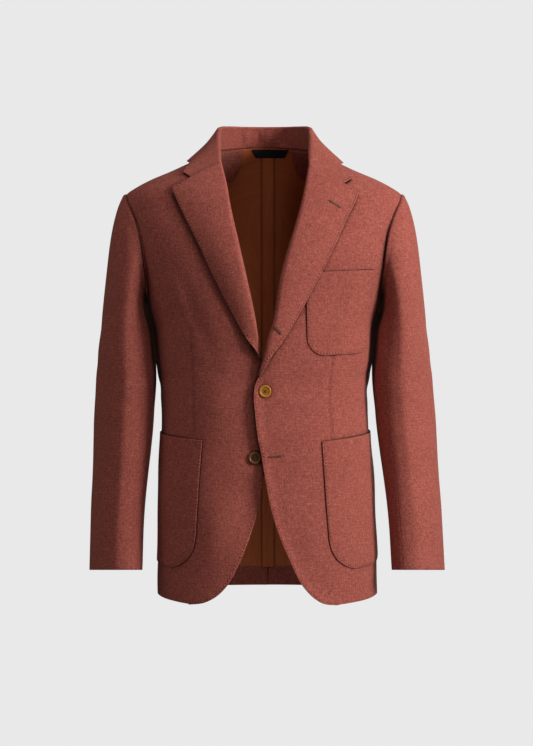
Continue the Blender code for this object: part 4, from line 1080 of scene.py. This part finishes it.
# Folds of the sleeve: z, degrees round, depth (a hollow is positive), length, width, slope.
sleeveFolds = [
    (-0.405, 60, 0.001, 0.05, 0.016, 0.3), (-0.44, 105, 0.0014, 0.05, 0.016, -0.25),
    (-0.475, 70, 0.001, 0.045, 0.014, 0.2), (-0.35, 300, 0.002, 0.07, 0.014, -0.3),
    (-0.3, 35, 0.001, 0.05, 0.016, 0.45), (-0.43, 250, 0.0022, 0.05, 0.013, 0.2),
    (-0.48, 285, 0.0018, 0.05, 0.013, -0.2), (-0.56, 85, 0.0008, 0.06, 0.016, 0.15),
    (-0.33, 180, -0.0042, 0.045, 0.065, 0.0), (-0.5, 97, -0.0012, 0.009, 0.26, 0.0),
    (-0.32, 118, 0.0062, 0.048, 0.075, 0.0),
]
# The lower sleeve hangs with its front face turned outwards (lean), a little flat (squareness), and the cuff is
# cut level as seen from the eye. The rope is the sleeve head's soft ridge beside its seam.
sleeveForm = {
    "cap": -0.3200, "cuff": -0.7156, "lean": 0.36, "leanBand": (-0.20, 0.12), "cuffLean": 0.14,
    "cuffLeanBand": (-0.43, 0.16), "squareness": 1.85, "levelBand": (-0.66, 0.05), "levelY": -0.028,
    "seamDip": 0.0009, "seamReach": 0.030, "rope": 0.0012, "ropeAt": 0.060, "ropeReach": 0.040,
    "wave": 0.35, "waveFrom": 0.3, "foldRadius": 0.06, "girth": 0.058, "firstShare": 0.0012,
    # how steeply the cap leaves the armhole seam, and how strongly it turns into the tube
    "out": 0.055, "outMore": 0.027, "ahead": 0.030, "fall": 0.020, "fallMore": 0.040, "arrive": 0.85,
}


def tubePoint(turn, z):
    # Section at height z: |x/a|^n + |y/b|^n = 1, sheared so that y grows by lean with x; turn 0 is the outer side
    # and a quarter turn is the front.
    form, n = sleeveForm, sleeveForm["squareness"]
    radius = (np.abs(np.cos(turn)) ** n + np.abs(np.sin(turn)) ** n) ** (-1 / n)
    x, middleY, halfWidth, halfDepth = (along(sleeveSections, name, z) for name in list(sleeveSections)[1:])
    aside = halfWidth * np.cos(turn) * radius
    lean = form["lean"] * below(z, form["leanBand"]) + form["cuffLean"] * below(z, form["cuffLeanBand"])
    y = middleY - halfDepth * np.sin(turn) * radius + lean * aside
    level = (z - photoView["height"]) * (y - form["levelY"]) / photoView["distance"]
    return stacked(x + aside, y, z + level * below(z, form["levelBand"]))


def sleeveFoldDepth(turn, z):
    # Sum of depth exp(-(h/width)^2 - (a/length)^2), with a the way round and h the height above the sloping fold.
    total = 0.0
    for height, degrees, depth, length, width, slope in sleeveFolds:
        a = ((turn - math.radians(degrees) + math.pi) % (2 * math.pi) - math.pi) * sleeveForm["foldRadius"]
        total = total + depth * np.exp(-((z - height - slope * a) / width) ** 2 - (a / length) ** 2)
    return total


def sleevePoint(turn, share):
    # Share 0 to 1: Hermite cap from the armhole seam to the tube; share 1 to 2: down the tube to the cuff.
    form, step = sleeveForm, 0.004
    seam = bodyPoint(*np.moveaxis(armholePoint(turn), -1, 0))
    seam[..., 0] -= centreX(seam[..., 2])
    end, lower = (tubePoint(turn, np.full(turn.shape, form["cap"] - drop)) for drop in (0, step))
    leave = stacked(form["out"] + form["outMore"] * np.cos(turn), -form["ahead"] * np.sin(turn),
                    -form["fall"] - form["fallMore"] * np.sin(turn) ** 2)
    arrive = (lower - end) / step * np.linalg.norm(end - seam, axis=-1, keepdims=True) * form["arrive"]
    t = np.clip(share, 0, 1)[..., None]
    cap = (seam * (1 + 2 * t) * (1 - t) ** 2 + leave * t * (1 - t) ** 2
           + end * t * t * (3 - 2 * t) + arrive * t * t * (t - 1))
    down = form["cap"] + (form["cuff"] - form["cap"]) * np.clip(share - 1, 0, 1)
    made = np.where((share > 1)[..., None], tubePoint(turn, down), cap)
    made[..., 0] += centreX(made[..., 2])
    return made


def sleeveShell(turn, share, lift):
    form, step = sleeveForm, 0.004
    around = sleevePoint(turn + step, share) - sleevePoint(turn - step, share)
    fall = sleevePoint(turn, np.minimum(share + step, 2)) - sleevePoint(turn, np.maximum(share - step, 0))
    point = sleevePoint(turn, share)
    z = point[..., 2]
    wave = form["wave"] * waved(turn * form["foldRadius"], z) * smooth(share / form["waveFrom"])
    rope = form["rope"] * near(share - form["ropeAt"], form["ropeReach"])
    push = lift - sleeveFoldDepth(turn, z) + wave + rope - form["seamDip"] * near(share, form["seamReach"])
    return point + unit(np.cross(around, fall)) * push[..., None]


def makeSleeve(side):
    # The seams meet the armhole an eighth of the way past the panels' seams.
    frontEnd, backEnd = seams["frontTurn"] * 7 / 8, seams["backTurn"] + (2 * math.pi - seams["backTurn"]) / 8
    under = even(density["underSleeve"], frontEnd, backEnd)
    upper = even(density["topSleeve"], backEnd - 2 * math.pi, frontEnd)
    shares = np.concatenate([even(density["sleeveCap"], sleeveForm["firstShare"]),
                             even(density["sleeveTube"], 1, 2)[1:]])
    for name, line in (("top_sleeve_", upper), ("under_sleeve_", under)):
        turn, share = np.meshgrid(line, shares)
        face, inside = (sleeveShell(turn, share, -wall) for wall in (0.0, cloth["wall"]))
        if side == "right":
            for grid in (face, inside):
                grid[..., 0] = 2 * centreX(grid[..., 2]) - grid[..., 0]
        sew(name + side, face, inside, rustFlannel, (turn * sleeveForm["girth"], face[..., 2]))


for coatSide in signs:
    makeSleeve(coatSide)
print("sleeves made")

# Upper front corner as (x, z) from the front, size, slope of the mouth, lean of the sides, radius of the corner,
# how far the mouth gapes and the gap behind.
pockets = {
    "hip_pocket_right": {"corner": (-0.1043, -0.4973), "width": 0.168, "depth": 0.212, "rise": 0.08, "lean": 0.07,
                         "round": 0.055, "gape": 0.0010, "gap": 0.0004},
    "hip_pocket_left": {"corner": (0.0896, -0.4994), "width": 0.172, "depth": 0.212, "rise": 0.10, "lean": 0.07,
                        "round": 0.055, "gape": 0.0016, "gap": 0.0009},
    "breast_pocket": {"corner": (0.0640, -0.2262), "width": 0.124, "depth": 0.135, "rise": 0.06, "lean": 0.010,
                      "round": 0.032, "gape": 0.0, "gap": 0.0006},
}
pocketForm = {"wall": 0.0016, "columns": 60, "rows": 72, "stitchInset": 0.0030, "gapeDepth": 0.05}


def makePocket(name):
    # A cut square with round lower corners, walked round the body from its front corner.
    size = pockets[name]
    startX, startZ = size["corner"]
    u = even(pocketForm["columns"])
    across, cut = size["width"] * u, 0.0
    for gap in (size["round"] - across, across - (size["width"] - size["round"])):
        cut = cut + size["round"] - np.sqrt(size["round"] ** 2 - np.maximum(gap, 0) ** 2)
    down = even(pocketForm["rows"])[:, None] * (size["depth"] - cut)[None]
    z = startZ + size["rise"] * across[None] - down
    start = angleAtX(np.full_like(z, startX), z)
    angle = aroundFrom(start, z, across[None] + size["lean"] * down, np.sign(startX))
    mouth = size["gape"] * np.sin(math.pi * u) * np.exp(-down / pocketForm["gapeDepth"])
    lay(name, stacked(angle, z), size["gap"] + pocketForm["wall"] + mouth, pocketForm["wall"],
        rustFlannel, inset=pocketForm["stitchInset"])


for pocketName in pockets:
    makePocket(pocketName)
print("pockets made")

neckForm = {
    "stripLeft": 0.013, "stripRight": -0.0078, "stripTop": -0.0152, "labelLeft": 0.0400, "labelRight": -0.0265,
    "labelSlant": 0.0080, "labelTop": -0.0025, "labelHeight": 0.0120, "labelWall": 0.0008, "facingMiddle": 0.0015,
    "freeColumn": 12, "facingColumns": 30, "stripColumns": 8, "stripRows": 259, "labelRows": 6, "labelColumns": 40,
}
facingEdge = table("z x", [
    (-0.072, -0.08), (-0.0614, -0.0655), (-0.046, -0.0545), (-0.0306, -0.0475), (-0.0085, -0.0425),
])


def insideBack(name, x, z, wall, finish):
    # A skin on the inside of the back at the given x and z.
    lay(name, stacked(angleAtX(x, z, "back"), z), facingLift, wall, finish, (x, z))


stripX, stripZ = np.meshgrid(even(neckForm["stripColumns"], neckForm["stripRight"], neckForm["stripLeft"]),
                             even(neckForm["stripRows"], seams["turnUpTop"], neckForm["stripTop"]))
stripMiddle = (neckForm["stripLeft"] + neckForm["stripRight"]) / 2
# The strip's lining has painted shade along both its seams.
stripLining = liningMaterial("brown_viscose_strip", liningLook, stripMiddle, neckForm["stripLeft"] - stripMiddle)
insideBack("lining_strip", stripX, stripZ, cloth["liningWall"], stripLining)

labelShare, labelAcross = even(neckForm["labelRows"])[:, None], even(neckForm["labelColumns"])[None]
labelSlant = neckForm["labelSlant"] * labelShare
labelStart, labelEnd = neckForm["labelRight"] + labelSlant, neckForm["labelLeft"] - labelSlant
labelX = labelStart * (1 - labelAcross) + labelEnd * labelAcross
labelZ = neckForm["labelTop"] - labelShare * neckForm["labelHeight"] + 0 * labelAcross
insideBack("neck_label", labelX, labelZ, neckForm["labelWall"], navyTape)


def makeFacing(side):
    # From the free edge out to the column that ends at the side neck, below the neck seam.
    cells = mirrored(side, fineBack[-density["facing"] - 1:, :density["backNeck"] + 1])
    face = bodyPoint(cells[..., 0], cells[..., 1])
    free = along(facingEdge, "x", face[:, neckForm["freeColumn"], 2])
    if side == "left":
        free = 2 * neckForm["facingMiddle"] - free
    share = even(neckForm["facingColumns"])[None]
    x = free[:, None] * (1 - share) + face[:, -1:, 0] * share
    rows = []
    for line, places, wanted in zip(cells, face[..., 0], x):
        order = np.argsort(places)
        rows.append(stacked(*(np.interp(wanted, places[order], column[order]) for column in line.T)))
    grid = np.array(rows)
    lay("neck_facing_" + side, grid, facingLift, cloth["liningWall"], rustFlannel, (x, grid[..., 1]))


for coatSide in signs:
    makeFacing(coatSide)
print("inside of the neck made")

buttonForm = {
    "thickness": 0.0036, "holeSpacing": 0.0017, "threadRadius": 0.0006, "dish": 0.66, "above": 0.0002,
    "dive": 0.0022, "diveFrom": 0.75, "crossing": 0.0004, "ring": (0.0052, 0.0092), "run": 14,
}

def hornMaterial(name, centre, look):
    # Polished horn: amber and translucent at the rim, darker streaks in the dish, a soft gloss.
    made, tree, shader = principled(name, {"Roughness": 0.42, "Specular IOR Level": 0.22, "Coat Weight": 0.06,
                                           "Coat Roughness": 0.2})
    local = addNode(tree, "Mapping", {"Location": [-c for c in centre], "Vector": placeOf(tree)})
    flat = addNode(tree, "VectorMath", {"operation": "MULTIPLY", 0: local, 1: (1, 0, 1)})
    reach = addNode(tree, "VectorMath", {"operation": "LENGTH", 0: flat})
    ring = ranged(tree, reach.outputs["Value"], *buttonForm["ring"])
    streak = noiseOf(tree, local, 1.0, 3.0, 0.6, (260, 260, 900))
    tone = summed(tree, 0.5, [(ring, 0.9), (streak, 0.5)])
    wire(tree, shader, {"Base Color": ramped(tree, tone, [(0.0, look["dish"]), (1.0, look["rim"])])})
    return made


def threadMaterial(name, colour):
    # Waxed buttonhole twist: a tight dark thread.
    made, tree, shader = principled(name, {"Roughness": 0.7, "Base Color": linear(colour), "Sheen Weight": 0.2})
    wire(tree, shader, {"Normal": bumped(tree, noiseOf(tree, placeOf(tree), 2200, 1.0, 0.5), 0.4, 0.0002)})
    return made


darkThread = threadMaterial("dark_button_thread", "#1E0E0B")
rustThread = threadMaterial("rust_buttonhole_thread", "#5E3218")


def tubeAlong(path, side, up, halfAcross, halfUp, closed=False):
    # Elliptic tube: path + side a cos(t) + up b sin(t), drawn to a point at open ends.
    steps, rows = 8, len(path)
    side, up = (np.broadcast_to(way, path.shape)[:, None] for way in (side, up))
    turns = even(steps, 0, 2 * math.pi)[:-1][None, :, None]
    swell = np.ones((rows, 1, 1))
    if not closed:
        swell[[0, -1]] = 0.02
    points = path[:, None] + (side * halfAcross * np.cos(turns) + up * halfUp * np.sin(turns)) * swell
    index = np.arange(rows * steps).reshape(rows, steps)
    following = np.roll(index, -1, axis=0) if closed else index[1:]
    here = index if closed else index[:-1]
    cells = np.stack([here, np.roll(here, -1, axis=1), np.roll(following, -1, axis=1), following], axis=-1)
    cells = cells.reshape(-1, 4)
    if not closed:
        ends = np.array([[0, 1, 2, 3], [0, 3, 4, 7], [4, 5, 6, 7]])
        cells = np.concatenate([cells, ends[:, ::-1], ends + (rows - 1) * steps])
    return points.reshape(-1, 3), cells


def threadPiece(name, parts, finish):
    # Several tubes as one piece of thread.
    starts = np.cumsum([0] + [len(points) for points, _ in parts])
    cells = np.concatenate([cells + start for (_, cells), start in zip(parts, starts)])
    thread = meshObject(name + "_thread", np.concatenate([points for points, _ in parts]), cells, finish)
    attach(thread, "root")


def makeButton(name):
    place, form = buttons[name], buttonForm
    spot = np.array(place["spot"])
    centre = onFront(spot, place["lift"] + cloth["seamGap"])
    normal = bodyNormal(angleAtX(*spot), spot[1])
    acrossWay = unit(np.cross((0, 0, 1), normal))
    upWay = np.cross(normal, acrossWay)
    horn = hornMaterial("horn_" + name, centre, place)
    for materialSlot in frame["nodes"][name].material_slots:
        materialSlot.material = horn
    # Two crossing threads that dive into the four holes at their ends.
    run = even(form["run"], -1, 1)
    dive = form["dive"] * np.maximum(np.abs(run) - form["diveFrom"], 0) / (1 - form["diveFrom"])
    height = form["thickness"] * form["dish"] + form["above"] - dive
    parts = []
    for degrees, over in ((45, form["crossing"]), (-45, 0.0)):
        turn = math.radians(degrees)
        way = acrossWay * math.cos(turn) + upWay * math.sin(turn)
        ahead = way * (run * form["holeSpacing"] * math.sqrt(2))[:, None]
        path = centre + ahead + normal * (height + over * (1 - np.abs(run)))[:, None]
        parts.append(tubeAlong(path, np.cross(normal, way), normal, form["threadRadius"], form["threadRadius"]))
    threadPiece(name, parts, darkThread)


for buttonName in buttons:
    makeButton(buttonName)

# Worked buttonholes, raised on the cloth: ends as (x, z) in the front view, and where each lies.
buttonholes = {
    "lapel_buttonhole": {"ends": [(0.1023, -0.1082), (0.1205, -0.1180)], "on": "lapel", "lift": 0.0002},
    "rolled_buttonhole": {"ends": [(0.0118, -0.3150), (0.0232, -0.3248)], "on": "lapel", "lift": 0.0014},
    "lower_buttonhole": {"ends": [(0.0018, -0.5240), (0.0226, -0.5222)], "on": "front", "lift": 0.0002},
}
holeForm = {
    "steps": 128, "gap": 0.0009, "thread": 0.0007, "stitches": 34, "swell": 0.25,
    "slit": 0.9, "slitSteps": 19, "slitAcross": 0.8, "slitUp": 0.6,
    "depthWeight": 0.02, "depthFrom": -0.2,     # the nearer layer of the lapel is picked
}


def makeButtonhole(name):
    # A closed loop L(t) = middle + along a cos t + across b sin t, flattened to a long slit, with a swelling at
    # each stitch.
    place, form = buttonholes[name], holeForm
    wanted = np.array(place["ends"])
    x, z = wanted.T
    if place["on"] == "lapel":
        face = lapelFaces["left"]
        spots = face.reshape(-1, 3)
        normals = unit(np.cross(np.gradient(face, axis=1), np.gradient(face, axis=0))).reshape(-1, 3)
        # The nearest spot in the front view, on the upper of the two layers.
        depth = form["depthWeight"] * (spots[:, 1] - form["depthFrom"]) ** 2
        picks = [int(np.argmin(np.sum((spots[:, [0, 2]] - end) ** 2, axis=1) + depth)) for end in wanted]
        ends, normal = spots[picks], unit(normals[picks].sum(axis=0))
    else:
        angle = angleAtX(x, z)
        fromEdge = x - along(edges["left"], "x", z)
        lift = drape(arcAround(angle, z), z) * smooth(fromEdge / frontForm["edgeCalm"]) + standsOff(x, z, fromEdge)
        ends, normal = onBody(angle, z, lift), unit(bodyNormal(angle, z).sum(axis=0))
    normal = normal * np.sign(-normal[1])
    way = unit(ends[1] - ends[0])
    side = np.cross(normal, way)
    half = np.linalg.norm(ends[1] - ends[0]) / 2
    middle = ends.mean(axis=0) + normal * place["lift"]
    turn = even(form["steps"], 0, 2 * math.pi)[:-1]
    reach, aside = (np.sign(wave) * np.abs(wave) ** 0.5 for wave in (np.cos(turn), np.sin(turn)))
    path = middle + way * (reach * half)[:, None] + side * (aside * form["gap"])[:, None]
    going = unit(np.roll(path, -1, axis=0) - np.roll(path, 1, axis=0))
    swell = (1 + form["swell"] * np.cos(turn * form["stitches"]))[:, None]
    across = unit(np.cross(np.broadcast_to(normal, path.shape), going)) * swell
    slit = middle + way * (even(form["slitSteps"], -form["slit"], form["slit"]) * half)[:, None]
    threadPiece(name, [tubeAlong(path, across, normal * swell, form["thread"], form["thread"], closed=True),
                       tubeAlong(slit, side, normal, form["gap"] * form["slitAcross"],
                                 form["thread"] * form["slitUp"])], rustThread)


for holeName in buttonholes:
    makeButtonhole(holeName)
print("buttons and buttonholes made")

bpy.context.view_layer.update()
triangles = sum(2 * len(piece.data.polygons) for piece in bpy.data.objects if piece.name.endswith("_cloth"))
print("cloth triangles:", triangles)
